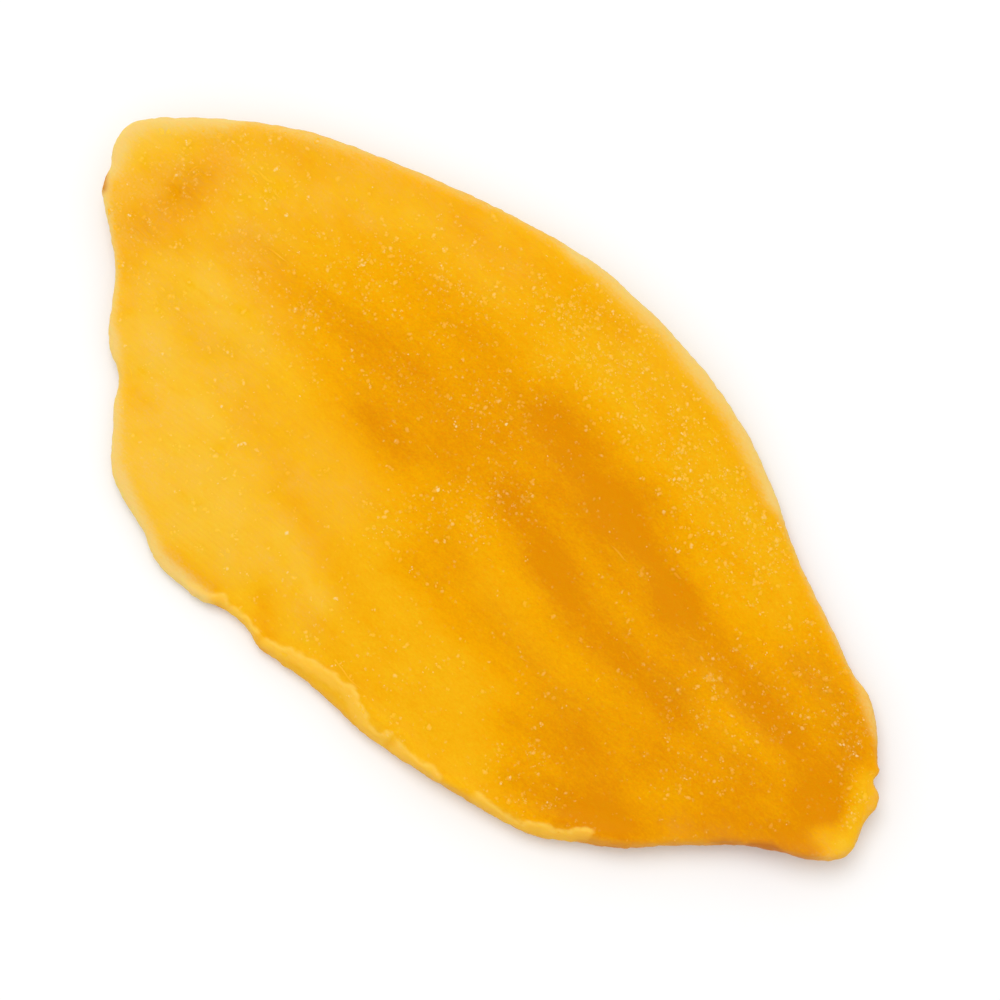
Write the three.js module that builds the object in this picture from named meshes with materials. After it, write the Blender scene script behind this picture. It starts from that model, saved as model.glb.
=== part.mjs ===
// Dried mango slice: one leathery piece of flesh, cut lengthwise from the fruit's cheek and dried flat.
// Millimetres, +Z up. +X runs along the slice from its stem end to its narrow tip, and +Y points to the
// rounded back edge. The origin is under the middle of the slice, on the surface that it lies on.
import * as THREE from 'three';
import { mergeVertices } from 'three/addons/utils/BufferGeometryUtils.js';

// Size and thickness
const LENGTH = 103; // stem end to tip
const WIDTH = 52.6; // heel to back edge
const OUTLINE_MIDDLE = [0.416, -1.121]; // middle of the outline's box, which goes over the origin
const CORE_THICKNESS = 4.6; // where the flesh is fullest
const FLANK_THICKNESS = 3.1; // away from the core, before the rim thins
const CORE_MIDDLE = [8, 1]; // fullest place
const CORE_REACH = [34, 17]; // how far the fullness spreads along and across
const RIM_ROLL = 4.5; // distance over which the rim swells to the full thickness

// Warp from drying: both ends and both edges curl up off the table
const CURL_MIDDLE = [2, -3];
const END_CURL = { stem: 3.4, tip: 3.0, power: 2.6 };
const EDGE_CURL = { back: 2.2, cut: 1.0, power: 2.2 };
const TWIST = 0.5; // the back of the stem end and the cut side of the tip rise by this, the others sink
const SWELL = { height: 0.15, along: 0.16, across: 0.23 }; // broad unevenness, in radians for each mm
const FLAT_SINK = 0.5; // the lowest flesh is pressed flat to this depth, so that the slice lies still
const FOOT_REACH = 9; // distance over which the underside rounds up to the rim's foot

// Mesh: the outline shrinks in rings to a spine, above and below
const SIDE_STEPS = 100; // outline steps along each long side
const SPINE = [[-37, 2], [38, -1]];
const UNDER_RINGS = [0.84, 0.68, 0.53, 0.39, 0.27, 0.17, 0.09]; // parts of the way to the spine
const TOP_RINGS = [0.23, 0.31, 0.39, 0.48, 0.57, 0.66, 0.75, 0.84, 0.92];
const FOOT_INSET = 0.4; // the foot of the rim stands in from the outline
const SHOULDER_STEPS = [0, 0.8, 1.9]; // the first top rings, from the rim's top edge inwards
const RIM_BELLY = 0.4; // part of the rim's height at which it is widest
const RIM_BULGE = { in: 0.5, up: 0.8 }; // the rim's rounded wall, as parts of its lean and height
const CURVE_SAMPLES = 3000;
const SMOOTHING = 6; // passes that blend one stretch's rim into the next

// The outline runs from the stem end along the cut edge to the tip, and back over the rounded edge.
// wall is the rim's height, lean how far its top edge stands in, foot its clearance from the table and
// lip the height of the curled lip of flesh that a blunt cut leaves.
const STRETCHES = [
  { name: 'stem end', wall: 1.1, lean: 0.5, foot: 0.6, lip: 0,
    points: [[-51.1, 2.8], [-50.5, 0.4], [-49.4, -1.1]] },
  { name: 'stem shoulder', wall: 1.1, lean: 0.5, foot: 0.5, lip: 0,
    points: [[-49.2, -2.4], [-47.9, -3.7], [-44.7, -6.1], [-41.7, -8.7], [-38.6, -13.1], [-36.3, -15],
      [-34.3, -16.1]] },
  { name: 'thin heel', wall: 1.0, lean: 0.5, foot: 0.5, lip: 0,
    points: [[-32.4, -19.1], [-30.3, -21.4], [-28.5, -23.5], [-25, -25], [-21.5, -26.1], [-18.8, -27.3],
      [-15, -27.3]] },
  { name: 'notched heel', wall: 1.9, lean: 0.8, foot: 0.3, lip: 0.3,
    points: [[-12.2, -26.9], [-10.9, -26.1], [-7.8, -26.1], [-5.6, -26.8], [-3.4, -26.5]] },
  { name: 'cut edge', wall: 2.6, lean: 0.7, foot: 0.2, lip: 0.5,
    points: [[2, -26], [8.5, -26], [17, -24.6], [25, -22.9], [28.8, -21.6], [31.2, -19.8]] },
  { name: 'steep edge', wall: 2.5, lean: 0.6, foot: 0.4, lip: 0,
    points: [[35.1, -17.1], [39.5, -12.6], [44.6, -8.2], [49.6, -5.3]] },
  { name: 'tip', wall: 1.1, lean: 0.5, foot: 0.7, lip: 0,
    points: [[51.9, -2.7], [51.7, -0.5], [50.9, 1.6], [50.8, 3.4], [49.1, 4.8], [49.1, 5.6], [47.8, 6.6]] },
  { name: 'thin back', wall: 1.2, lean: 0.6, foot: 0.6, lip: 0,
    points: [[46.6, 8.3], [42.7, 11.1], [40.8, 11.4], [35.1, 13.8], [29.6, 16], [22, 20.1], [15, 22.9]] },
  { name: 'full back', wall: 1.6, lean: 0.8, foot: 0.5, lip: 0,
    points: [[3, 24.9], [-5, 25.1], [-12, 24], [-24, 20.6], [-38, 15], [-46, 9.3], [-50.4, 4.8]] },
];
const TIP_POINT = [51.9, -2.7]; // the outline's far end from its first point

// Where the lip folds out further, at a distance along the slice, and the sloping wall below it widens
const LIP_LOBES = [
  { along: 4.5, half: 5, width: 1.8 },
  { along: 11.6, half: 2, width: 1.1 },
  { along: 24, half: 2, width: 0.4 },
  { along: 29.3, half: 3.2, width: 0.9 },
];
const LIP_FULL = 0.5; // lip height at which a lobe has its whole width
const LIP = { crest: 0.4, crestHalf: 0.8, trough: 2.3, troughHalf: 1.1, troughShare: 0.6 };

// Furrows (rise below 0) and ridges (rise above 0) run along the fibres. Each is half wide to where it
// has faded by about two thirds, and bends by bow from its straight line.
const GRAIN = [
  { name: 'main furrow', from: [-14, 12.4], to: [48, -0.8], bow: 1.2, half: 2.6, rise: -0.6 },
  { name: 'back furrow', from: [-42, 10.5], to: [-6, 12], bow: 1.4, half: 2, rise: -0.25 },
  { name: 'middle furrow', from: [-39, 1.8], to: [0, 4.8], bow: 0.3, half: 1.9, rise: -0.35 },
  { name: 'heart furrow', from: [-25, -0.6], to: [-5, -3.4], bow: -0.2, half: 1.6, rise: -0.35 },
  { name: 'centre furrow', from: [2, 1.4], to: [42, -3.8], bow: -1.9, half: 1.8, rise: -0.5 },
  { name: 'lower furrow', from: [-4, -5.2], to: [35, -17.6], bow: 0.8, half: 1.7, rise: -0.45 },
  { name: 'low furrow', from: [-2, -10.4], to: [15, -11.2], bow: 0, half: 1.2, rise: -0.2 },
  { name: 'belly furrow', from: [-37, -6.5], to: [6, -18.8], bow: 0.5, half: 1.8, rise: -0.22 },
  { name: 'heel furrow', from: [-5, -20.3], to: [10, -22.6], bow: 0, half: 1.3, rise: -0.25 },
  { name: 'flank ridge', from: [-16, 16], to: [24, 13.6], bow: 0.8, half: 2.6, rise: 0.4 },
  { name: 'centre ridge', from: [0, -4], to: [27, -7.6], bow: -0.2, half: 1.9, rise: 0.35 },
  { name: 'tip ridge', from: [23, 0.4], to: [43, -0.9], bow: 0, half: 1.6, rise: 0.28 },
  { name: 'tip mound', from: [32, 7.6], to: [42, 6.1], bow: 0, half: 1.5, rise: 0.35 },
  { name: 'stem ridge', from: [-38, -2.5], to: [-14, -4.6], bow: 0, half: 2, rise: 0.2 },
];
const GRAIN_FADE = 0.22; // part of a line's length over which it fades at each end
const DIMPLES = [
  { name: 'stem dimple', at: [-42.5, 1], reach: [3, 5.5], rise: -0.5 },
  { name: 'tip dimple', at: [46.5, -0.8], reach: [2, 2.4], rise: -0.35 },
];
const BACK_GROOVE = { inset: 3.6, half: 1.4, rise: -0.22 }; // shallow groove inside the back edge
// The underside's furrows are a share of the top's, mirrored across the slice, and start past a step
const UNDER_FURROWS = { share: 0.75, step: 0.06 };

const FLESH = { color: 0xf5ab14, roughness: 0.55, metalness: 0 };

const { lerp, smoothstep } = THREE.MathUtils;
const bell = (distance, half) => Math.exp(-((distance / half) ** 2));

// Evenly spaced samples of one side of the outline, each with the stretch that it lies on.
function sampleSide(curve, owners, start, end) {
  const dense = [];
  let travelled = 0;
  for (let k = 0; k <= CURVE_SAMPLES; k += 1) {
    const u = lerp(start, end, k / CURVE_SAMPLES);
    const point = curve.getPoint(u % 1);
    if (k > 0) travelled += point.distanceTo(dense[k - 1].point);
    dense.push({ point, travelled, stretch: owners[Math.floor(u * owners.length) % owners.length] });
  }
  const samples = [];
  let k = 0;
  for (let step = 0; step < SIDE_STEPS; step += 1) {
    while (dense[k].travelled < (travelled * step) / SIDE_STEPS) k += 1;
    samples.push(dense[k]);
  }
  return samples;
}

// Blends a value that jumps from stretch to stretch into one that runs smoothly round the rim.
function smoothAround(values) {
  let current = values;
  for (let pass = 0; pass < SMOOTHING; pass += 1) {
    const before = current;
    current = before.map((value, i) => {
      const last = before[(i + before.length - 1) % before.length];
      const next = before[(i + 1) % before.length];
      return (last + value + next) / 3;
    });
  }
  return current;
}

function lobeWidth(x) {
  return LIP_LOBES.reduce((width, lobe) => width + lobe.width * bell(x - lobe.along, lobe.half), 0);
}

// The rim's place and section at every step round the outline.
function rimStations() {
  const points = STRETCHES.flatMap((stretch) => stretch.points);
  const owners = STRETCHES.flatMap((stretch) => stretch.points.map(() => stretch));
  const knots = points.map(([x, y]) => new THREE.Vector3(x, y, 0));
  const curve = new THREE.CatmullRomCurve3(knots, true, 'centripetal');
  const tip = points.findIndex(([x, y]) => x === TIP_POINT[0] && y === TIP_POINT[1]) / points.length;
  const samples = [...sampleSide(curve, owners, 0, tip), ...sampleSide(curve, owners, tip, 1)];
  const around = (valueOf) => smoothAround(samples.map(({ stretch }) => valueOf(stretch)));
  const wall = around((stretch) => stretch.wall);
  const lean = around((stretch) => stretch.lean);
  const foot = around((stretch) => stretch.foot);
  const lip = around((stretch) => stretch.lip);
  const back = around((stretch) => (stretch.name.endsWith('back') ? 1 : 0));
  return samples.map(({ point: { x, y } }, i) => {
    const lobes = lobeWidth(x) * Math.min(1, lip[i] / LIP_FULL);
    return { x, y, wall: wall[i], lean: lean[i] + lobes, foot: foot[i], lip: lip[i], back: back[i] };
  });
}

// Points on the spine: the two sides of the outline share them, pair by pair.
function spinePoint(step) {
  const share = step / SIDE_STEPS;
  return { x: lerp(SPINE[0][0], SPINE[1][0], share), y: lerp(SPINE[0][1], SPINE[1][1], share) };
}

function grainRise(x, y) {
  let rise = 0;
  for (const line of GRAIN) {
    const share = (x - line.from[0]) / (line.to[0] - line.from[0]);
    if (share > 0 && share < 1) {
      const middle = lerp(line.from[1], line.to[1], share) + 4 * line.bow * share * (1 - share);
      const ends = smoothstep(share, 0, GRAIN_FADE) * smoothstep(1 - share, 0, GRAIN_FADE);
      rise += line.rise * ends * bell(y - middle, line.half);
    }
  }
  return rise;
}

function dimpleRise(x, y) {
  return DIMPLES.reduce((rise, dimple) => {
    const fade = bell(x - dimple.at[0], dimple.reach[0]) * bell(y - dimple.at[1], dimple.reach[1]);
    return rise + dimple.rise * fade;
  }, 0);
}

function curl(x, y) {
  const along = (x - CURL_MIDDLE[0]) / (LENGTH / 2);
  const across = (y - CURL_MIDDLE[1]) / (WIDTH / 2);
  const ends = (along < 0 ? END_CURL.stem : END_CURL.tip) * Math.abs(along) ** END_CURL.power;
  const edges = (across < 0 ? EDGE_CURL.cut : EDGE_CURL.back) * Math.abs(across) ** EDGE_CURL.power;
  const swell = SWELL.height * Math.sin(x * SWELL.along) * Math.cos(y * SWELL.across);
  return ends + edges - TWIST * along * across + swell - FLAT_SINK;
}

function fullThickness(x, y) {
  const fullness = bell(x - CORE_MIDDLE[0], CORE_REACH[0]) * bell(y - CORE_MIDDLE[1], CORE_REACH[1]);
  return lerp(FLANK_THICKNESS, CORE_THICKNESS, fullness);
}

function footRise(inset, rim) {
  return rim.foot * Math.max(0, 1 - inset / FOOT_REACH) ** 3;
}

function underHeight(x, y, inset, rim) {
  const furrows = Math.max(0, -UNDER_FURROWS.share * grainRise(x, -y) - UNDER_FURROWS.step);
  return Math.max(0, curl(x, y)) + furrows + footRise(inset, rim);
}

function topHeight(x, y, inset, rim) {
  const past = Math.max(0, inset - rim.lean);
  const grown = 1 - Math.exp(-past / RIM_ROLL);
  const thickness = lerp(rim.wall, fullThickness(x, y), grown);
  const crest = bell(past - LIP.crest, LIP.crestHalf);
  const trough = LIP.troughShare * bell(past - LIP.trough, LIP.troughHalf);
  const groove = rim.back * BACK_GROOVE.rise * bell(inset - BACK_GROOVE.inset, BACK_GROOVE.half);
  const relief = (grainRise(x, y) + dimpleRise(x, y)) * grown;
  const base = Math.max(0, curl(x, y)) + footRise(inset, rim);
  return base + thickness + rim.lip * (crest - trough) + groove + relief;
}

// One section at a rim station: out along the underside to the foot, round the rim and in over the top.
function sectionPoints(rim, spine) {
  const reach = Math.hypot(spine.x - rim.x, spine.y - rim.y);
  const pointAt = (inset, height) => {
    const x = lerp(rim.x, spine.x, inset / reach);
    const y = lerp(rim.y, spine.y, inset / reach);
    return [x, y, height(x, y, inset, rim)];
  };
  const [footX, footY, footZ] = pointAt(FOOT_INSET, underHeight);
  const [, , shoulderZ] = pointAt(rim.lean, topHeight);
  const wallHeight = shoulderZ - footZ;
  return [
    ...UNDER_RINGS.map((share) => pointAt(share * reach, underHeight)),
    [footX, footY, footZ],
    [rim.x, rim.y, footZ + wallHeight * RIM_BELLY],
    pointAt(rim.lean * RIM_BULGE.in, () => footZ + wallHeight * RIM_BULGE.up),
    ...SHOULDER_STEPS.map((step) => pointAt(rim.lean + step, topHeight)),
    ...TOP_RINGS.map((share) => pointAt(share * reach, topHeight)),
  ];
}

function sliceGeometry() {
  const stations = rimStations();
  const count = stations.length;
  const spineStep = (i) => (i <= SIDE_STEPS ? i : count - i);
  const sections = stations.map((rim, i) => sectionPoints(rim, spinePoint(spineStep(i))));
  const rings = sections[0].length;
  const positions = sections.flat(2);
  const faces = [];
  const ringVertex = (i, ring) => (i % count) * rings + ring;
  for (let i = 0; i < count; i += 1) {
    for (let ring = 0; ring + 1 < rings; ring += 1) {
      const [near, beside] = [ringVertex(i, ring), ringVertex(i + 1, ring)];
      const [besideNext, nearNext] = [ringVertex(i + 1, ring + 1), ringVertex(i, ring + 1)];
      faces.push(near, beside, besideNext, near, besideNext, nearNext);
    }
  }
  const closeAtSpine = (ring, height, above) => {
    const first = positions.length / 3;
    for (let step = 0; step <= SIDE_STEPS; step += 1) {
      const { x, y } = spinePoint(step);
      const rim = stations[step];
      positions.push(x, y, height(x, y, Math.hypot(x - rim.x, y - rim.y), rim));
    }
    for (let i = 0; i < count; i += 1) {
      const [near, beside] = [ringVertex(i, ring), ringVertex(i + 1, ring)];
      const [besideSpine, nearSpine] = [first + spineStep((i + 1) % count), first + spineStep(i)];
      const upward = [near, beside, besideSpine, near, besideSpine, nearSpine];
      faces.push(...(above ? upward : upward.reverse()));
    }
  };
  closeAtSpine(0, underHeight, false);
  closeAtSpine(rings - 1, topHeight, true);
  const geometry = new THREE.BufferGeometry();
  geometry.setAttribute('position', new THREE.Float32BufferAttribute(positions, 3));
  geometry.setIndex(faces);
  return mergeVertices(geometry, 1e-5);
}

function mangoSlice() {
  const mesh = new THREE.Mesh(sliceGeometry(), new THREE.MeshStandardMaterial(FLESH));
  mesh.name = 'mango_slice';
  mesh.position.set(-OUTLINE_MIDDLE[0], -OUTLINE_MIDDLE[1], 0);
  return mesh;
}

const group = new THREE.Group();
group.add(mangoSlice());
export default group;
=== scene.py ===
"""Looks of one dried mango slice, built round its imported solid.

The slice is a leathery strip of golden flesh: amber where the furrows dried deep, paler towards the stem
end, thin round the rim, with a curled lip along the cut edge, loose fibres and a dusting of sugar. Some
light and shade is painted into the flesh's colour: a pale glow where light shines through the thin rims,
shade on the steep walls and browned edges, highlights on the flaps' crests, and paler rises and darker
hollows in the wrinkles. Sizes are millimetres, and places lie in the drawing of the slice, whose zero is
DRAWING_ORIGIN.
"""

import logging
import math
import random
from dataclasses import dataclass, field
from enum import Enum
from typing import ClassVar

import bmesh
import bpy
import numpy as np
from mathutils import Matrix, Vector, noise
from mathutils.bvhtree import BVHTree
from mathutils.kdtree import KDTree


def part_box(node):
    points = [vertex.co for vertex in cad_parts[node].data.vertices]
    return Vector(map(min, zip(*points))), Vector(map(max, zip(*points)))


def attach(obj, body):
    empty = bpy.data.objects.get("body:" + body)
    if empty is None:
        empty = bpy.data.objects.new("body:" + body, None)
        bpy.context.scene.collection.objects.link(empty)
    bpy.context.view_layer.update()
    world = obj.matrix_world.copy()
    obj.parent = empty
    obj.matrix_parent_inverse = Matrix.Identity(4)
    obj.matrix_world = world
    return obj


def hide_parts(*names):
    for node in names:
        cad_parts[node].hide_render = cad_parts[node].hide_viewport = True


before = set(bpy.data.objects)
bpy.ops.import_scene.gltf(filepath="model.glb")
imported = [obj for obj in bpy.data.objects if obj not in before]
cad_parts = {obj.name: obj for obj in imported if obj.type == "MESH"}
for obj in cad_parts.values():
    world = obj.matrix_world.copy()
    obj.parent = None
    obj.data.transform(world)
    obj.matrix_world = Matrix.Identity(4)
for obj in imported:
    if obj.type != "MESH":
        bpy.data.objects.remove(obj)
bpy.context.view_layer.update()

MM = 0.001
NODE = "mango_slice"
BODY = "root"
DRAWING_ORIGIN = (-0.416, 1.121, 0.0)  # where the drawing's zero lies in the part's frame
SEED_STEP = 17.37  # how far apart in the noise the fields of swells lie

Point = tuple[float, float]
Line = tuple[Point, ...]
Range = tuple[float, float]
Triple = tuple[float, float, float]
Colour = Triple

log = logging.getLogger("mango")


class Tint(Enum):
    """How a patch of flesh departs from even gold; the clear and brown tints also carry painted light and
    shade.
    """

    AMBER = "amber"
    PALE = "pale"
    PAINTED_BACKLIGHT = "clear"
    BROWN_AND_SHADE = "brown"
    FROST = "frost"
    MILKY = "milky"


@dataclass(frozen=True)
class Patch:
    """A soft stripe of one tint.

    Args:
        line: Bent line that the patch follows.
        half: Distance from the line at which it has faded by about two thirds.
        strength: How much it changes at its middle.
    """

    line: Line
    half: float
    strength: float


PATCHES: dict[Tint, tuple[Patch, ...]] = {
    Tint.AMBER: (
        # Amber heart of the slice
        Patch(((-10, 4), (5, 4), (25, -2), (48, 0)), 14.0, 0.34),
        # Along the back edge
        Patch(((-38, 13), (-28, 17.5), (-20, 20)), 2.0, 0.12),
        Patch(((-14, 21.3), (0, 22), (12, 21), (20, 19), (28, 15.8), (38, 10)), 1.2, 0.08),
        Patch(((-19, 18.6), (-13, 19), (-5, 20), (0, 21.3)), 1.7, 0.13),
        Patch(((21.5, 12), (29, 11.5)), 1.5, 0.1),
        Patch(((36, 8.5), (40, 8.8), (45, 6.5), (47.5, 4)), 2.8, 0.26),
        # Furrows, from the back edge to the cut edge
        Patch(((-35, 12.5), (-33, 12.5)), 1.6, 0.12),
        Patch(((-28, 12), (-14, 11), (-4, 10.8)), 2.6, 0.14),
        Patch(((1, 10.3), (6, 9.4), (12, 8)), 3.6, 0.28),
        Patch(((6, 4.3), (13, 3.6), (19, 1.2)), 1.2, 0.14),
        Patch(((23, 5.2), (28, 4.5), (36, 3.2), (44, 1.2), (47.5, -0.5)), 2.4, 0.26),
        Patch(((22, 2.2), (27, 1.2)), 1.8, 0.1),
        Patch(((-34, 2.5), (-26, 3), (-17, 3.2)), 2.2, 0.22),
        Patch(((-14, 3), (-8, 3), (-2, 4.2)), 1.8, 0.13),
        Patch(((-28, 0), (-20, -1.5), (-14, -2.2), (-7, -3.2)), 2.2, 0.07),
        Patch(((-12.5, -2), (-8, -2.4)), 2.4, 0.22),
        Patch(((-4, 1), (2, 2)), 2.5, 0.12),
        Patch(((-22, 5), (-12, 5.5), (-4, 7), (6, 9)), 2.6, 0.07),
        Patch(((1, -8.5), (6, -9)), 2.2, 0.12),
        Patch(((14, 11.5), (19, 9)), 2.0, 0.12),
        Patch(((8, 18.5), (11, 17.5)), 2.0, 0.08),
        Patch(((-36, 0), (-26, 0.5)), 2.4, 0.08),
        Patch(((-6, 0), (-2, -1.2)), 1.8, 0.08),
        Patch(((12, 7.6), (17.5, 6.2), (23, 5)), 2.2, 0.34),
        Patch(((11, -0.5), (15, 0.5)), 2.4, 0.1),
        Patch(((25, -11), (30, -12)), 2.0, 0.14),
        Patch(((-31, 8), (-24, 8)), 2.5, 0.08),
        Patch(((4, 0.8), (8, 0), (12, -1.5), (16, -3), (24, -3), (29, -3.2)), 2.4, 0.26),
        Patch(((31, -4), (41, -3.6)), 1.6, 0.1),
        Patch(((-2, -5.5), (4, -7.2)), 2.2, 0.14),
        Patch(((10, -9), (14, -10), (20, -11), (25, -12), (34, -15.8)), 2.2, 0.19),
        Patch(((21, -9.5), (25, -8), (32, -9)), 2.0, 0.1),
        Patch(((19, -15.5), (24, -15), (30, -17)), 3.0, 0.28),
        Patch(((32, -9.5), (40, -5.5)), 3.0, 0.16),
        Patch(((0, -11.2), (9, -12)), 1.7, 0.2),
        Patch(((12, -12), (13.5, -12.5)), 1.6, 0.1),
        Patch(((10, -20), (15, -21)), 2.2, 0.09),
        Patch(((35, 2), (40, 1.5)), 1.6, 0.08),
        Patch(((-36, -6.5), (-30, -8.2)), 1.8, 0.12),
        Patch(((-22, -10.4), (-16, -12), (-10, -14.3), (5, -18.2)), 1.8, 0.12),
        Patch(((-2, -21), (3, -22.3), (7, -22)), 1.6, 0.14),
        # Beside the cut edge
        Patch(((-40.5, -8), (-38.5, -9.5)), 1.6, 0.2),
        Patch(((-32, -16), (-30, -16)), 1.8, 0.14),
        Patch(((-31, -16.8), (-28, -17.6)), 1.3, 0.1),
        Patch(((-18, -26), (-12.5, -25.4)), 1.0, 0.26),
        Patch(((-8.3, -22.8), (-5.4, -24.9)), 1.1, 0.26),
        Patch(((23, -19.8), (28, -18.8), (34, -15.3), (41, -9.3), (46, -6), (49.5, -4)), 2.4, 0.32),
        # Across the stem end and the tip
        Patch(((-43, -4), (-42.5, 0), (-41.5, 6)), 3.0, 0.32),
        Patch(((-40.5, 2), (-41, 0.5), (-39.5, -1.5)), 2.8, 0.14),
        Patch(((-46.5, -1), (-46.3, 2)), 1.6, 0.1),
        Patch(((45, -2), (48, 0)), 2.2, 0.2),
    ),
    Tint.PALE: (
        # Paler ridges and flanks
        Patch(((-29, 14), (-17, 14)), 1.2, 0.07),
        Patch(((-3, 15), (-3, 12)), 2.2, 0.1),
        Patch(((0, 16.5), (8, 16)), 1.5, 0.12),
        Patch(((30, -0.5), (40, -0.5)), 1.3, 0.04),
        Patch(((14, 2), (20, 1)), 1.2, 0.08),
        Patch(((-34, -3), (-20, -5)), 2.4, 0.1),
        Patch(((-14, -8.5), (-11, -8.5)), 2.0, 0.07),
        Patch(((-26, -12.5), (-24, -12.7)), 1.5, 0.12),
        Patch(((-11, -16.8), (-3, -19.3)), 1.2, 0.14),
        Patch(((-38, -10), (-27, -19), (-18, -20)), 6.5, 0.16),
        Patch(((-48, 7), (-50, 2)), 3.0, 0.25),
        Patch(((48.5, 4), (51, -2)), 1.6, 0.5),
        Patch(((48.8, -3), (50, -3.2)), 1.3, 0.42),
    ),
    Tint.PAINTED_BACKLIGHT: (
        # Thin rims, painted pale with the glow of light shining through them
        Patch(((-45, 10.5), (-50.4, 5.5), (-51.3, 2.5), (-50, -1)), 2.1, 0.9),
        Patch(((-49, -3.2), (-46, -5.5), (-42, -8.9), (-38, -14)), 1.1, 0.75),
        Patch(((-37, -15), (-29, -23.5), (-19, -27.4), (-13, -27.4)), 1.7, 0.9),
        Patch(((-44, 11.5), (-30, 18.7), (-16, 23.3), (-8, 25)), 1.3, 0.5),
        Patch(((-8, 25.2), (4, 25), (15, 23), (23, 19.8)), 1.7, 0.74),
        Patch(((23, 19.8), (30, 16), (41, 11.5), (47, 8)), 0.9, 0.55),
        Patch(((49.3, 5), (51, 2), (52.2, -2), (50, -5)), 0.9, 0.3),
    ),
    Tint.BROWN_AND_SHADE: (
        # Browned edges: the spot at the stem end is browning; the strips along the cut edge and the lower
        # right edge are browning plus painted shade on walls turned away from the light
        Patch(((-49.6, -2.3), (-48.8, -3.2)), 0.55, 1.8),
        Patch(((32, -20), (36, -17), (40, -12.9), (45, -8.4), (50, -5.6)), 0.8, 0.7),
        Patch(((40.4, -11), (43.2, -8.8), (45.6, -7.2), (48.4, -6.3)), 0.7, 0.26),
        Patch(((44.2, -8.2), (45.6, -7.3), (46.6, -7)), 0.8, 0.65),
        Patch(((-14, -27.6), (-11, -26.4), (-4, -27.2)), 0.5, 0.45),
        Patch(((2, -26.4), (10, -26.3), (20, -24.4), (28, -22.4)), 0.35, 0.5),
    ),
    Tint.MILKY: (
        # Milky haze where the flesh dried pale
        Patch(((-48, 12), (-48, -3)), 6.0, 0.5),
        Patch(((-41, 14), (-30, 18)), 2.5, 0.4),
        Patch(((-34, -18.5), (-29, -23)), 1.6, 0.9),
        Patch(((-36, -8), (-20, -16)), 8.0, 0.46),
        Patch(((-34, -14), (-27, -20), (-21, -22)), 4.0, 0.35),
        Patch(((-13, -22), (-10, -18), (-5, -20)), 3.2, 0.42),
        Patch(((-12.5, -10), (-8.5, -10)), 3.0, 0.3),
        Patch(((-40, 9.5), (-35, 5), (-29, -3.5)), 4.0, 0.33),
        Patch(((-33, 10), (-27, 12.5)), 2.5, 0.3),
        Patch(((-30, 17), (-14, 19)), 4.0, 0.25),
        Patch(((0, 21.5), (8, 21.5)), 3.0, 0.08),
        Patch(((49.6, -3.4), (50.4, -4.4)), 1.5, 0.35),
        Patch(((38, -12), (50, -5)), 1.6, 0.12),
    ),
    Tint.FROST: (
        # Sugar bloom: broad stretches, then the thickest spots
        Patch(((-44, -5), (-44, 8), (-38, 12)), 4.5, 0.6),
        Patch(((-38, -8), (-28, -12), (-18, -16)), 7.0, 0.2),
        Patch(((-36, 6), (-31, 2), (-25, 0)), 5.0, 0.45),
        Patch(((-24, 9), (-16, 14), (-6, 17), (-2, 19)), 5.0, 0.55),
        Patch(((-2, 20.5), (6, 19), (15, 17), (24, 16)), 5.0, 0.85),
        Patch(((-12, 3), (-8, 5), (-2, 8)), 3.5, 0.45),
        Patch(((2, 1), (-1, -4), (-3, -9)), 3.5, 0.5),
        Patch(((-3, -20), (2, -21), (9, -20)), 3.0, 0.3),
        Patch(((27, 13), (35, 11)), 3.5, 0.25),
        Patch(((30, -1), (35, 3), (40, 7)), 4.0, 0.42),
        Patch(((44, 8), (47.5, 5), (50, 2)), 2.5, 0.65),
        Patch(((34, -8), (39, -3)), 3.0, 0.2),
        Patch(((22, -19.5), (28, -18)), 2.2, 0.4),
        Patch(((2.5, -2.7), (3.9, -4.3)), 1.1, 0.6),
        Patch(((2.8, 0.9), (4.6, 2.3)), 1.0, 0.6),
        Patch(((22, -15.9), (22.6, -15.9)), 1.0, 0.8),
        Patch(((10.7, -24.1), (11.1, -24.1)), 0.9, 0.7),
    ),
}


@dataclass(frozen=True)
class Nick:
    """A small bump or dent in the outline.

    Args:
        place: Where on the outline it is.
        half: Distance along the outline at which it has faded by about two thirds.
        rise: How far it stands out, or in if negative.
    """

    place: Point
    half: float
    rise: float


NICKS: tuple[Nick, ...] = (
    # Tip, from the back edge to the cut edge
    Nick((40.5, 12.5), 3.0, -0.12),
    Nick((43.8, 11.6), 0.8, 0.15),
    Nick((45.8, 9.6), 1.6, -0.16),
    Nick((48.9, 5.7), 0.35, 0.25),
    Nick((49.5, 4.8), 0.7, -0.32),
    Nick((50.8, 2.9), 1.0, 0.2),
    Nick((51.7, -0.2), 1.2, -0.2),
    Nick((52.4, -2.2), 0.6, 0.12),
    Nick((50.7, -4.4), 2.0, 0.2),
    # Cut edge
    Nick((34.9, -17.3), 2.5, -0.1),
    Nick((-7.2, -26.3), 1.6, -0.3),
    Nick((-22.2, -26.2), 1.5, -0.18),
    # Stem end
    Nick((-37.3, -15.0), 1.6, 0.14),
    Nick((-49.3, -0.8), 0.8, -0.15),
    Nick((-47.5, -4.0), 2.2, 0.12),
    Nick((-51.7, 2.2), 2.5, 0.12),
    # Back edge
    Nick((-48.0, 7.3), 3.0, -0.2),
    Nick((-41.5, 12.6), 4.0, -0.14),
    Nick((-1.2, 25.0), 1.6, -0.18),
    Nick((10.3, 24.8), 3.0, 0.14),
)


def linear(red: float, green: float, blue: float) -> Colour:
    """Linear colour of a display colour whose parts run from 0 to 255."""

    def one(value: float) -> float:
        """Linear part of one display part."""
        share = value / 255
        return share / 12.92 if share <= 0.04045 else ((share + 0.055) / 1.055) ** 2.4

    return one(red), one(green), one(blue)


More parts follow.
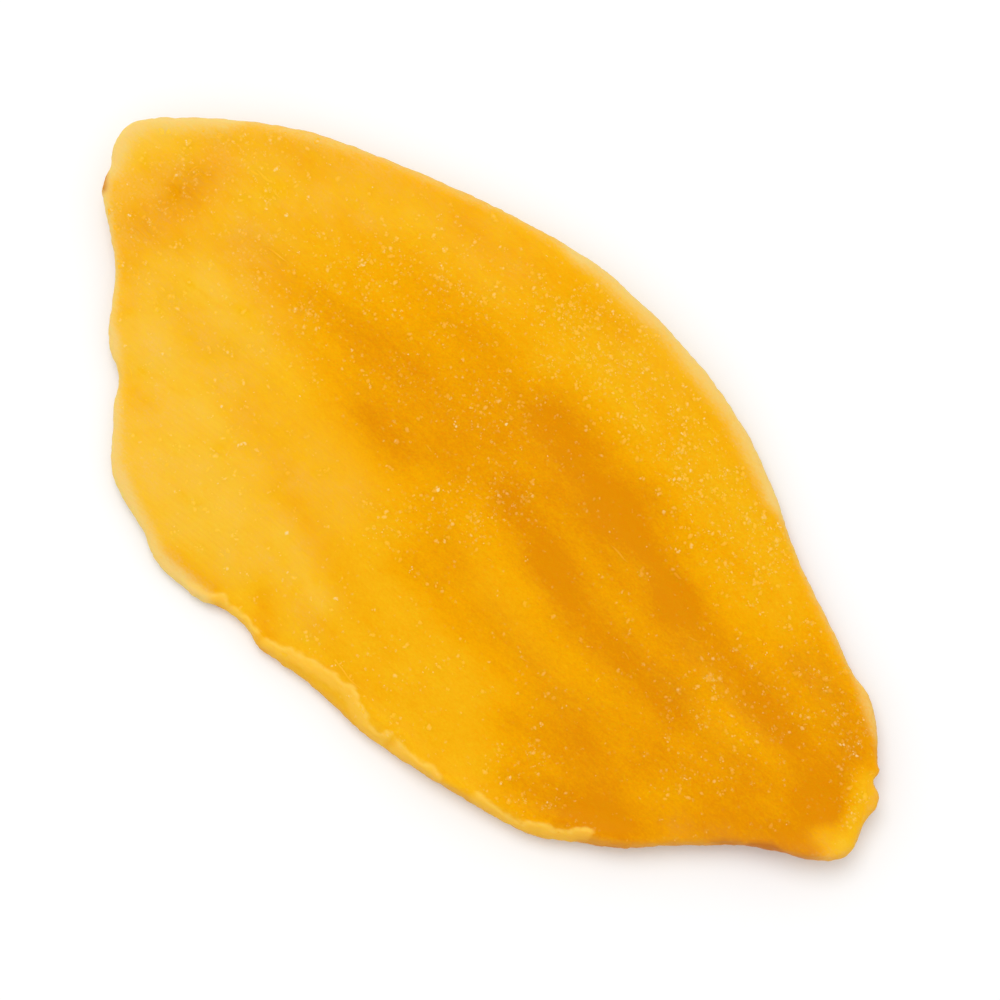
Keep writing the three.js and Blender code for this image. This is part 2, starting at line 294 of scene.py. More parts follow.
def bell(distance: np.ndarray, half: float) -> np.ndarray:
    """Bell curve: 1 at no distance, about a third at half."""
    return np.exp(-((distance / half) ** 2))


def smooth(value: np.ndarray, low: float, high: float) -> np.ndarray:
    """Smooth step from 0 at low to 1 at high."""
    share = np.clip((value - low) / (high - low), 0.0, 1.0)
    return share * share * (3 - 2 * share)


def distance_from_line(places: np.ndarray, line: Line) -> np.ndarray:
    """Shortest distance in plan from a bent line.

    Args:
        places: Points, one row each, of which the first two columns are used.
        line: The line's corners.

    Returns:
        One distance for each row.
    """
    nearest = np.full(len(places), np.inf)
    for start, end in zip(line, line[1:]):
        run = np.subtract(end, start)
        share = np.clip((places[:, :2] - start) @ run / (run @ run), 0.0, 1.0)
        apart = places[:, :2] - start - share[:, None] * run
        nearest = np.minimum(nearest, np.linalg.norm(apart, axis=1))
    return nearest


@dataclass(frozen=True)
class Swells:
    """Soft random swells.

    Args:
        size: Length of a swell along, across and through the slice.
        rise: How far a swell goes above or below nothing.
        seed: Which field of swells.
    """

    size: Triple
    rise: float
    seed: int

    def over(self, places: np.ndarray) -> np.ndarray:
        """Their value at each of the places, one row each."""
        scaled = places / np.array(self.size) + self.seed * SEED_STEP
        return self.rise * np.array([noise.noise(Vector(row)) for row in scaled.tolist()])


def new_object(name: str, data: bpy.types.ID) -> bpy.types.Object:
    """Makes an object of a mesh, curve, camera or lamp and puts it in the scene."""
    made = bpy.data.objects.new(name, data)
    bpy.context.scene.collection.objects.link(made)
    return made


def final_mesh(name: str, data: bpy.types.Mesh | bpy.types.Curve, levels: int = 0) -> bpy.types.Mesh:
    """Turns a coarse mesh or a set of thick lines into the mesh that it stands for.

    Args:
        name: The new mesh's name.
        data: The mesh or curve, which is removed.
        levels: How many times its faces are divided and smoothed.

    Returns:
        The new mesh.
    """
    shape = new_object(name + "_source", data)
    if levels:
        smoothing = shape.modifiers.new("smoothing", "SUBSURF")
        smoothing.levels = smoothing.render_levels = levels
    graph = bpy.context.evaluated_depsgraph_get()
    mesh = bpy.data.meshes.new_from_object(shape.evaluated_get(graph))
    mesh.name = name
    bpy.data.objects.remove(shape)
    (bpy.data.curves if isinstance(data, bpy.types.Curve) else bpy.data.meshes).remove(data)
    return mesh


def write_numbers(mesh: bpy.types.Mesh, name: str, values: np.ndarray) -> None:
    """Gives each vertex of a mesh a number that its material reads."""
    mesh.attributes.new(name, "FLOAT", "POINT").data.foreach_set("value", values.astype(np.float32))


def read_numbers(mesh: bpy.types.Mesh, name: str) -> np.ndarray:
    """The numbers of that name, one for each vertex."""
    values = np.empty(len(mesh.vertices), np.float32)
    mesh.attributes[name].data.foreach_get("value", values)
    return values


def smooth_faces(mesh: bpy.types.Mesh) -> None:
    """Shades all faces of a mesh as one smooth surface."""
    for polygon in mesh.polygons:
        polygon.use_smooth = True


def keep_inside(mesh: bpy.types.Mesh) -> None:
    """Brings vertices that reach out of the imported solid's box back to its faces."""
    places = np.empty(len(mesh.vertices) * 3)
    mesh.vertices.foreach_get("co", places)
    low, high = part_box(NODE)
    mesh.vertices.foreach_set("co", np.clip(places.reshape(-1, 3), low, high).ravel())
    mesh.update()


@dataclass
class FleshSurface:
    """What is known of every vertex of the slice's fine mesh.

    Args:
        places: Where it is.
        normals: The surface's direction there.
        inset: Its distance from the outline in plan.
        outward: The level direction out of the slice at the nearest point of the outline.
    """

    TURN: ClassVar[Range] = (-0.25, 0.35)  # rise of the normal, from the underside's to the upper face's

    places: np.ndarray
    normals: np.ndarray
    inset: np.ndarray
    outward: np.ndarray

    @classmethod
    def of(cls, mesh: bpy.types.Mesh) -> "FleshSurface":
        """Measures a mesh.

        Args:
            mesh: The slice's fine mesh, in metres in the part's frame.

        Returns:
            The surface as measured.
        """
        count = len(mesh.vertices)
        places = np.empty(count * 3)
        mesh.vertices.foreach_get("co", places)
        places = places.reshape(-1, 3) / MM - DRAWING_ORIGIN
        normals = np.empty(count * 3)
        mesh.vertices.foreach_get("normal", normals)
        normals = normals.reshape(-1, 3)
        rim = cls._rim_vertices(mesh)
        tree = KDTree(len(rim))
        for k in rim:
            x, y, _ = places[k]
            tree.insert((x, y, 0.0), int(k))
        tree.balance()
        found = [tree.find((x, y, 0.0)) for x, y, _ in places.tolist()]
        inset = np.array([distance for _, _, distance in found])
        outward = normals[[k for _, k, _ in found]].copy()
        outward[:, 2] = 0.0
        outward /= np.maximum(np.linalg.norm(outward, axis=1, keepdims=True), 1e-9)
        return cls(places, normals, inset, outward)

    @staticmethod
    def _rim_vertices(mesh: bpy.types.Mesh) -> list[int]:
        """Vertices where the surface turns from facing up to facing down."""
        count = len(mesh.vertices)
        up, down = np.zeros(count, bool), np.zeros(count, bool)
        for face in mesh.polygons:
            (up if face.normal.z > 0 else down)[list(face.vertices)] = True
        return np.nonzero(up & down)[0].tolist()

    @property
    def top(self) -> np.ndarray:
        """1 on the upper face, 0 on the underside, between on the wall."""
        return smooth(self.normals[:, 2], *self.TURN)

    def patch(self, tint: Tint, under: bool = False) -> np.ndarray:
        """All patches of one tint added up.

        Args:
            tint: Which patches.
            under: Whether the patches are mirrored, as on the underside.

        Returns:
            The strength at each vertex.
        """
        places = self.places * ((1, -1, 1) if under else (1, 1, 1))
        total = np.zeros(len(places))
        for patch in PATCHES[tint]:
            total += patch.strength * bell(distance_from_line(places, patch.line), patch.half)
        return total

    def both_faces(self, tint: Tint) -> np.ndarray:
        """One tint on the upper face, and mirrored on the underside."""
        return self.patch(tint) * self.top + self.patch(tint, under=True) * (1 - self.top)


@dataclass(frozen=True)
class Flap:
    """A thin flap of flesh folded in over the cut edge.

    Args:
        crest: The flap's inner border, from the stem end towards the tip.
        fade: Distance over which its ends run out.
    """

    crest: Line
    fade: float = 1.0

    def past(self, surface: FleshSurface) -> np.ndarray:
        """Distance from the crest, positive towards the middle of the slice."""
        along, across = zip(*self.crest)
        side = np.sign(surface.places[:, 1] - np.interp(surface.places[:, 0], along, across))
        return side * distance_from_line(surface.places, self.crest)

    def presence(self, surface: FleshSurface) -> np.ndarray:
        """1 beside the crest, falling to 0 past its ends."""
        x = surface.places[:, 0]
        start, end = self.crest[0][0], self.crest[-1][0]
        begun = smooth(x, start - self.fade, start + self.fade)
        return begun * (1 - smooth(x, end - self.fade / 2, end + self.fade / 2))


@dataclass(frozen=True)
class CutEdge:
    """The blunt edge that the knife left, with flaps folded over it: each has a step at its crest.

    Args:
        ragged: How the crests stray.
        rise: Height of a flap at its crest.
        step: Half the width of the step down from it.
        hold: The rise stays whole this far from the crest, towards the rim.
        reach: It has run out this far from the crest.
        crease: Depth of the crease beside the crest, below nothing.
        crease_half: Half its width.
        far: Largest distance from a crest that counts.
    """

    flaps: tuple[Flap, ...] = (
        Flap(((-15, -26.6), (-12.1, -25.9), (-11.3, -25.1), (-10.1, -25.5), (-8, -25.2), (-6, -25.6))),
        Flap(
            (
                (-5.3, -25.6), (-1.4, -24.2), (2.3, -23.6), (4.8, -23.3),
                (7.4, -24.4), (9.1, -24.9), (9.9, -24.7), (10.7, -23.9),
            ),
            0.6,
        ),
        Flap(((11.4, -24), (12, -24.3), (14.9, -24), (16, -23.6), (17.3, -23.9)), 0.5),
        Flap(
            (
                (20.8, -22.6), (24.8, -22.2), (26.1, -21.8), (27.4, -20.5),
                (28.8, -20.2), (30.1, -19.2), (31.1, -18), (32, -17.7),
            ),
            0.5,
        ),
    )
    ragged: Swells = Swells((0.9, 0.9, 0.9), 0.3, 9)
    rise: float = 0.13
    step: float = 0.22
    hold: float = 0.3
    reach: float = 1.3
    crease: float = -0.06
    crease_half: float = 0.5
    far: float = 5.0

    def measure(self, surface: FleshSurface) -> tuple[np.ndarray, np.ndarray]:
        """Finds the nearest flap.

        Args:
            surface: The slice's vertices.

        Returns:
            Distance past its crest, and its presence, on the upper face.
        """
        past = np.full(len(surface.places), self.far)
        presence = np.zeros(len(surface.places))
        shake = self.ragged.over(surface.places)
        for flap in self.flaps:
            own, here = flap.past(surface) + shake, flap.presence(surface)
            nearer = here > presence
            past[nearer], presence[nearer] = own[nearer], here[nearer]
        return np.clip(past, -self.far, self.far), presence * surface.top

    def relief(self, surface: FleshSurface) -> np.ndarray:
        """Height of the flaps and depth of the crease beside them."""
        past, presence = self.measure(surface)
        layer = (1 - smooth(past, -self.step, self.step)) * (1 - smooth(-past, self.hold, self.reach))
        crease = self.crease * bell(past - self.crease_half, self.crease_half)
        return presence * (self.rise * layer + crease)


@dataclass
class MangoSlice:
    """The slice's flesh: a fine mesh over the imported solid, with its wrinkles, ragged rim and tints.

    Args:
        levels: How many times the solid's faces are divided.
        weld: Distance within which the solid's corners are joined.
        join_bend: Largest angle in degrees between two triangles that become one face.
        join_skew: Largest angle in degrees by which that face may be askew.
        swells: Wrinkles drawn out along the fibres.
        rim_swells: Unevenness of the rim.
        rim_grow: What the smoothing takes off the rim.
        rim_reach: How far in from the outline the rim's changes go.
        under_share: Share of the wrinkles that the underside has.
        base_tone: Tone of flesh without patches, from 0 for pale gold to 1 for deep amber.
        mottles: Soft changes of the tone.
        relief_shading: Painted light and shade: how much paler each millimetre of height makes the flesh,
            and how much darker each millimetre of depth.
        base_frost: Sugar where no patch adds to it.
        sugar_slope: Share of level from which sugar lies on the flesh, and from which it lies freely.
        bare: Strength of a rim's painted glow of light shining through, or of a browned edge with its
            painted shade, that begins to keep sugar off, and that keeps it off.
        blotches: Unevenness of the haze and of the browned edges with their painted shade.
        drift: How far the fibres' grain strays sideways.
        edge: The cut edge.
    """

    MOST_TONE: ClassVar[float] = 1.2
    MOST_FROST: ClassVar[float] = 1.3
    MOST_BLOTCH: ClassVar[float] = 2.0

    name: str = "dried_flesh"
    levels: int = 2
    weld: float = 0.002
    join_bend: float = 50.0
    join_skew: float = 60.0
    swells: tuple[Swells, ...] = (
        Swells((9.0, 2.4, 4.0), 0.040, 1),
        Swells((3.6, 1.3, 2.0), 0.022, 2),
        Swells((1.5, 0.8, 1.0), 0.014, 3),
    )
    rim_swells: tuple[Swells, ...] = (
        Swells((2.6, 2.6, 2.6), 0.10, 4),
        Swells((0.9, 0.9, 0.9), 0.09, 5),
        Swells((0.5, 0.5, 0.5), 0.07, 8),
    )
    rim_grow: float = 0.1
    rim_reach: float = 0.9
    under_share: float = 0.8
    base_tone: float = 0.385
    mottles: tuple[Swells, ...] = (Swells((7.0, 2.6, 5.0), 0.05, 6), Swells((2.4, 1.2, 2.0), 0.035, 7))
    relief_shading: float = 0.7
    base_frost: float = 0.1
    sugar_slope: Range = (0.6, 0.95)
    bare: Range = (0.1, 0.6)
    blotches: tuple[Swells, ...] = (Swells((3.4, 2.2, 3.0), 1.1, 13), Swells((1.1, 0.9, 1.0), 0.7, 14))
    drift: Swells = Swells((22.0, 16.0, 20.0), 1.6, 12)
    edge: CutEdge = field(default_factory=CutEdge)

    def build(self, node: bpy.types.Object) -> bpy.types.Object:
        """Makes the flesh.

        Args:
            node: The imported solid, which stays as it is.

        Returns:
            The finished piece, at the origin, with its tints as attributes.
        """
        flesh = self._refined_copy(node)
        surface = FleshSurface.of(flesh.data)
        relief = self._wrinkle(flesh.data, surface)
        self._tint(flesh.data, FleshSurface.of(flesh.data), relief)
        smooth_faces(flesh.data)
        return flesh

    def _refined_copy(self, node: bpy.types.Object) -> bpy.types.Object:
        """A welded copy of the solid, smoothed into small four-sided faces."""
        bm = bmesh.new()
        bm.from_mesh(node.data)
        bmesh.ops.remove_doubles(bm, verts=bm.verts, dist=self.weld * MM)
        bend, skew = math.radians(self.join_bend), math.radians(self.join_skew)
        bmesh.ops.join_triangles(bm, faces=bm.faces, angle_face_threshold=bend, angle_shape_threshold=skew)
        coarse = bpy.data.meshes.new(self.name + "_coarse")
        bm.to_mesh(coarse)
        bm.free()
        return new_object(self.name, final_mesh(self.name, coarse, self.levels))

    def _wrinkle(self, mesh: bpy.types.Mesh, surface: FleshSurface) -> np.ndarray:
        """Moves the vertices into wrinkles, a ragged rim and the lip.

        Args:
            mesh: The fine mesh, which is changed.
            surface: Its vertices as measured.

        Returns:
            How far each vertex rose or sank.
        """
        share = self.under_share + (1 - self.under_share) * surface.top
        relief = share * sum(swells.over(surface.places) for swells in self.swells)
        relief = relief + self.edge.relief(surface)
        ragged = self.rim_grow + sum(swells.over(surface.places) for swells in self.rim_swells)
        for nick in NICKS:
            apart = np.linalg.norm(surface.places[:, :2] - nick.place, axis=1)
            ragged = ragged + nick.rise * bell(apart, nick.half)
        moved = surface.places + relief[:, None] * surface.normals
        moved += (ragged * bell(surface.inset, self.rim_reach))[:, None] * surface.outward
        mesh.vertices.foreach_set("co", ((moved + DRAWING_ORIGIN) * MM).ravel())
        keep_inside(mesh)
        return relief

    def _tint(self, mesh: bpy.types.Mesh, surface: FleshSurface, relief: np.ndarray) -> None:
        """Writes the tints that the finish reads.

        Args:
            mesh: The fine mesh.
            surface: Its vertices as measured after the wrinkles.
            relief: How far each vertex rose or sank.
        """
        tone = self.base_tone + surface.both_faces(Tint.AMBER) - surface.both_faces(Tint.PALE)
        tone = sum((mottle.over(surface.places) for mottle in self.mottles), tone)
        # Painted light and shade: raised wrinkles and flaps turn paler, hollows and creases darker
        tone = tone - self.relief_shading * relief
        frost = np.clip(self.base_frost + surface.both_faces(Tint.FROST), 0.0, self.MOST_FROST)
        blotches = sum((swells.over(surface.places) for swells in self.blotches), 1.0)
        blotches = np.clip(blotches, 0.0, self.MOST_BLOTCH)
        past, presence = self.edge.measure(surface)
        tints = {
            "tone": np.clip(tone, 0.0, self.MOST_TONE),
            # Painted glow of light shining through the thin rims
            "clear": np.clip(surface.patch(Tint.PAINTED_BACKLIGHT), 0.0, 1.0),
            # Browned edges, with painted shade on the walls along the cut and lower right edges
            "brown": np.clip(surface.patch(Tint.BROWN_AND_SHADE) * blotches, 0.0, 1.0),
            "frost": frost * self._open_flesh(surface),
            "milky": surface.both_faces(Tint.MILKY) * blotches,
            "drift": self.drift.over(surface.places),
            # Steepness: the finish paints the walls darker, partly their own colour and partly painted
            # shade
            "wall": np.clip(1 - np.abs(surface.normals[:, 2]), 0.0, 1.0),
            "flap": presence,
            "crest": past,
        }
        for name, values in tints.items():
            write_numbers(mesh, name, values)

    def _open_flesh(self, surface: FleshSurface) -> np.ndarray:
        """1 where sugar can lie, 0 on the walls, on the thin rims painted with light shining through, and
        on the browned and shaded edges.
        """
        level = smooth(np.abs(surface.normals[:, 2]), *self.sugar_slope)
        edges = surface.patch(Tint.PAINTED_BACKLIGHT) + surface.patch(Tint.BROWN_AND_SHADE)
        return level * (1 - smooth(edges, *self.bare))


def surface_tree(mesh: bpy.types.Mesh) -> BVHTree:
    """The mesh as a tree in which places on it are found."""
    faces = [tuple(face.vertices) for face in mesh.polygons]
    return BVHTree.FromPolygons([vert.co for vert in mesh.vertices], faces)


class Ripeness:
    """The tone of the flesh, for what lies on it and lets it show through."""

    def __init__(self, flesh: bpy.types.Mesh) -> None:
        """Reads the tone of every vertex of the flesh."""
        self.tones = read_numbers(flesh, "tone")
        self.tree = KDTree(len(flesh.vertices))
        for vert in flesh.vertices:
            self.tree.insert(vert.co, vert.index)
        self.tree.balance()

    def copy_to(self, mesh: bpy.types.Mesh) -> None:
        """Gives each vertex of another mesh the tone of the flesh beside it."""
        nearest = [self.tree.find(vert.co)[1] for vert in mesh.vertices]
        write_numbers(mesh, "tone", self.tones[nearest])


@dataclass
class LooseFibres:
    """Fine fibres that came loose from the flesh and dried onto it.

    Args:
        strands: The plain ones, on the upper face.
        scattered: How many faint ones lie along the grain, on both faces.
        lengths: Least and largest length of a faint one.
        lean: Spread of the slopes at which they lie.
        kink: How far their corners stray.
        half: Half the thickness of a plain one.
        faint_half: Half the thickness of a faint one.
        thin_end: Share of it at both ends.
        fullness: Power of the sine by which the ends run out, less for a fuller fibre.
        sunk: Depth of the middle under the surface, as a share of half the thickness.
        cover: Share of the flesh's colour that they hide on their crests.
        crest: Height above the flesh at which they hide that much.
        uneven: How their cover varies.
        step: Length between two places of a fibre.
        rounds: How often its corners are rounded.
        fewest: Least number of places that make a fibre.
        waver: How it strays sideways.
        cast_from: Height from which places are found on the slice.
        lowest: Height below which none lies on the underside.
    """

    name: str = "mango_fibres"
    strands: tuple[Line, ...] = (
        ((-40.9, 7.8), (-39.1, 8.6), (-36.8, 8.7), (-34.5, 9.1), (-33, 9.3)),
        ((-40.2, 8.3), (-38, 8.3), (-36, 8.9)),
        ((-43.4, 1.9), (-42.9, 4.8), (-42.3, 6.8)),
        ((-43, 2.6), (-42.2, 4.2), (-42, 6)),
        ((-45.8, -4.4), (-43, -3.9), (-41.1, -3.6), (-39, -3.1)),
        ((-34.9, 3.5), (-32.4, 3.7), (-30.6, 3.7), (-28.4, 4.3), (-26.6, 4.2)),
        ((-31.4, 3.7), (-29.8, 3.2), (-28.6, 3.1)),
        ((-29.1, -8.3), (-27, -8.6)),
        ((-35.6, -14.2), (-33.6, -14.9), (-32.3, -16.3)),
        ((-28.1, -5.4), (-26.4, -5.8)),
        ((-3.2, -21.2), (-1, -21.9), (1.8, -22.6), (3.8, -22.9), (6.5, -22.9), (9.4, -22.6)),
        ((25.2, 2.6), (27.8, 3.3)),
        ((31.1, 5.7), (32.7, 5.4)),
        ((30.3, 7.3), (32.4, 7.6)),
        ((12.2, 4.5), (16, 4.3), (18.6, 4.4)),
        ((19.2, 6.8), (23, 6.5)),
    )
    scattered: int = 36
    lengths: Range = (1.2, 4.5)
    lean: float = 0.22
    kink: float = 0.12
    half: float = 0.26
    faint_half: float = 0.16
    thin_end: float = 0.25
    fullness: float = 0.6
    sunk: float = 0.84
    cover: float = 0.3
    crest: float = 0.04
    uneven: Swells = Swells((1.1, 1.1, 1.1), 1.2, 16)
    step: float = 0.22
    rounds: int = 6
    fewest: int = 4
    waver: Swells = Swells((1.6, 1.6, 1.6), 0.14, 15)
    cast_from: float = 20.0
    lowest: float = 0.25
    seed: int = 23

    def build(self, flesh: bpy.types.Object) -> bpy.types.Object:
        """Lays the fibres.

        Args:
            flesh: The finished flesh.

        Returns:
            All fibres as one piece.
        """
        draw = random.Random(self.seed)
        surface = surface_tree(flesh.data)
        curve = bpy.data.curves.new(self.name + "_lines", "CURVE")
        curve.dimensions = "3D"
        curve.bevel_depth = MM
        curve.bevel_resolution = 1
        curve.use_fill_caps = True
        for line in self.strands:
            self._lay(curve, surface, line, self.half, 1.0)
        low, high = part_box(NODE)
        for _ in range(self.scattered):
            x, y = (draw.uniform(low[k], high[k]) / MM - DRAWING_ORIGIN[k] for k in range(2))
            length, lean = draw.uniform(*self.lengths), draw.gauss(0, self.lean)
            line = tuple(
                (x + share * length, y + share * length * lean + draw.gauss(0, self.kink))
                for share in (0, 0.5, 1)
            )
            self._lay(curve, surface, line, self.faint_half, draw.choice((1.0, -1.0)))
        mesh = final_mesh(self.name, curve)
        smooth_faces(mesh)
        keep_inside(mesh)
        Ripeness(flesh.data).copy_to(mesh)
        self._cover(mesh, surface)
        return new_object(self.name, mesh)

    def _cover(self, mesh: bpy.types.Mesh, surface: BVHTree) -> None:
        """Writes how much of the flesh's colour the fibres hide: most on their crests, unevenly."""
        places = np.array([vert.co for vert in mesh.vertices]) / MM
        uneven = np.clip(0.5 + self.uneven.over(places), 0.0, 1.0)
        nearest = [surface.find_nearest(vert.co) for vert in mesh.vertices]
        heights = [(vert.co - near[0]).dot(near[1]) / MM for vert, near in zip(mesh.vertices, nearest)]
        shown = np.clip(np.array(heights) / self.crest, -1.0, 1.0)
        write_numbers(mesh, "cover", self.cover * uneven * shown)

    def _lay(
        self, curve: bpy.types.Curve, surface: BVHTree, line: Line, half: float, side: float
    ) -> None:
        """Adds one fibre, half sunk in the surface, thin at both ends.

        Args:
            curve: What holds all fibres.
            surface: The flesh.
            line: The fibre's route in plan.
            half: Half its thickness.
            side: 1 on the upper face, -1 on the underside.
        """
        places = []
        for x, y in self._smoothed(line):
            above = (x + DRAWING_ORIGIN[0], y + DRAWING_ORIGIN[1], side * self.cast_from)
            place, normal, _, _ = surface.ray_cast(Vector(above) * MM, Vector((0, 0, -side)))
            if place is not None and (side > 0 or place.z > self.lowest * MM):
                places.append(place - normal * (half * self.sunk * MM))
        if len(places) < self.fewest:
            return
        spline = curve.splines.new("POLY")
        spline.points.add(len(places) - 1)
        for k, (point, place) in enumerate(zip(spline.points, places)):
            share = k / (len(places) - 1)
            fullness = math.sin(math.pi * share) ** self.fullness
            point.co = (*place, 1.0)
            point.radius = half * (self.thin_end + (1 - self.thin_end) * fullness)

    def _smoothed(self, line: Line) -> np.ndarray:
        """The route at even steps, with its corners rounded and a slight waver."""
        corners = np.array(line, float)
        runs = np.concatenate(([0.0], np.cumsum(np.linalg.norm(np.diff(corners, axis=0), axis=1))))
        stations = np.linspace(0, runs[-1], max(int(runs[-1] / self.step), self.fewest + 1))
        route = np.stack([np.interp(stations, runs, corners[:, k]) for k in range(2)], axis=1)
        for _ in range(self.rounds):
            route[1:-1] = (route[:-2] + 2 * route[1:-1] + route[2:]) / 4
        spots = np.column_stack([route, np.zeros(len(route))])
        route[:, 1] += self.waver.over(spots)
        return route


@dataclass
class SugarDusting:
    """Flakes of dried sugar and pulp sunk in the surface, in small uneven clumps.

    Args:
        most_in_clump: Most flakes in a clump.
        rarity: Power that keeps full clumps rare.
        under_share: Share of the upper face's clumps that the underside has.
        spread: How far the flakes lie from the middle of their clump.
        half_size: Least and largest half width of a flake.
        smallness: Power that keeps most flakes small.
        stretch: Least and largest length of a flake as a share of its width.
        flatness: Height of a flake's half as a share of its half width.
        sunk: Share of that height that lies under the surface.
        jitter: How far a flake's corners stray, as a share of its half width.
        sides: How many corners its rim has.
        cover: Middle value of how much of the flesh's colour a flake hides at its crest.
        cover_spread: How far that varies from clump to clump, as the spread of its logarithm.
        cover_range: How far it varies within a clump, as shares.
        film: Middle value of the film's thickness on the flesh at the middle of a clump.
        film_half: Distance at which the film has faded by about two thirds.
        most_film: How many times the middle value it may be.
    """

    name: str = "sugar_crumbs"
    clumps: int = 3000
    most_in_clump: int = 3
    rarity: int = 2
    under_share: float = 0.4
    spread: float = 0.16
    half_size: Range = (0.11, 0.38)
    smallness: float = 2.5
    stretch: Range = (0.7, 1.6)
    flatness: float = 0.19
    sunk: float = 0.4
    jitter: float = 0.3
    sides: int = 7
    cover: float = 0.24
    cover_spread: float = 0.65
    cover_range: Range = (0.6, 1.4)
    film: float = 0.6
    film_half: float = 0.22
    most_film: float = 2.0
    seed: int = 11

    def build(self, flesh: bpy.types.Object) -> bpy.types.Object:
        """Scatters the flakes, and writes the film round each clump on the flesh as its film attribute.

        Args:
            flesh: The finished flesh, with its frost and tone attributes.

        Returns:
            All flakes as one piece. Each has its own cover, which is nothing where it meets the flesh.
        """
        draw = np.random.default_rng(self.seed)
        mesh = flesh.data
        surface, ripeness = surface_tree(mesh), Ripeness(mesh)
        film = np.zeros(len(mesh.vertices), np.float32)
        corners, faces = self._lens()
        crest = corners[:, 2] > 0.5
        places, covers = [], []
        for start in self._starts(mesh, draw):
            centre = mesh.polygons[start].center
            thick = math.exp(self.cover_spread * draw.normal())
            for _, vertex, apart in ripeness.tree.find_range(centre, 2 * self.film_half * MM):
                fade = math.exp(-((apart / (self.film_half * MM)) ** 2))
                film[vertex] += self.film * min(thick, self.most_film) * fade
            for _ in range(1 + int(self.most_in_clump * draw.random() ** self.rarity)):
                step = Vector(draw.normal(size=3)) * (self.spread * MM)
                place, normal, _, _ = surface.find_nearest(centre + step)
                places.append(self._flake(corners, place, normal, draw))
                cover = self.cover * thick * draw.uniform(*self.cover_range)
                covers.append(cover * np.where(crest, 1.0, -self.sunk / (1 - self.sunk)))
        write_numbers(mesh, "film", film)
        flakes = bpy.data.meshes.new(self.name)
        joined = faces + len(corners) * np.arange(len(places))[:, None, None]
        flakes.from_pydata(np.concatenate(places).tolist(), [], joined.reshape(-1, 3).tolist())
        keep_inside(flakes)
        write_numbers(flakes, "cover", np.concatenate(covers))
        ripeness.copy_to(flakes)
        return new_object(self.name, flakes)

    def _starts(self, mesh: bpy.types.Mesh, draw: np.random.Generator) -> np.ndarray:
        """Faces on which the clumps start, more of them where the bloom is thick."""
        frost = read_numbers(mesh, "frost")
        areas = np.array([face.area for face in mesh.polygons])
        bloom = np.array([frost[list(face.vertices)].mean() for face in mesh.polygons])
        upper = np.array([face.normal.z > 0 for face in mesh.polygons])
        weights = areas * bloom * np.where(upper, 1.0, self.under_share)
        return draw.choice(len(weights), self.clumps, p=weights / weights.sum())

    def _lens(self) -> tuple[np.ndarray, np.ndarray]:
        """Corners and faces of a lens of radius 1 with a sharp rim."""
        bm = bmesh.new()
        bmesh.ops.create_uvsphere(bm, u_segments=self.sides, v_segments=2, radius=1.0)
        corners = np.array([vert.co for vert in bm.verts])
        faces = np.array([[vert.index for vert in face.verts] for face in bm.faces])
        bm.free()
        return corners, faces

    def _flake(
        self, corners: np.ndarray, place: Vector, normal: Vector, draw: np.random.Generator
    ) -> np.ndarray:
        """Shapes one flake.

        Args:
            corners: Those of a lens.
            place: Where it lies.
            normal: The surface's direction there.
            draw: The seeded source of random numbers.

        Returns:
            Its corners.
        """
        least, most = self.half_size
        half = least + (most - least) * draw.random() ** self.smallness
        scale = np.array((half * draw.uniform(*self.stretch), half, half * self.flatness)) * MM
        spin = Matrix.Rotation(draw.uniform(0, math.tau), 3, "Z")
        turn = normal.to_track_quat("Z", "Y").to_matrix() @ spin
        uneven = corners * (1 + self.jitter * draw.uniform(-1, 1, (len(corners), 1)) * (1, 1, 0))
        return (uneven - (0, 0, self.sunk)) * scale @ np.array(turn).T + place


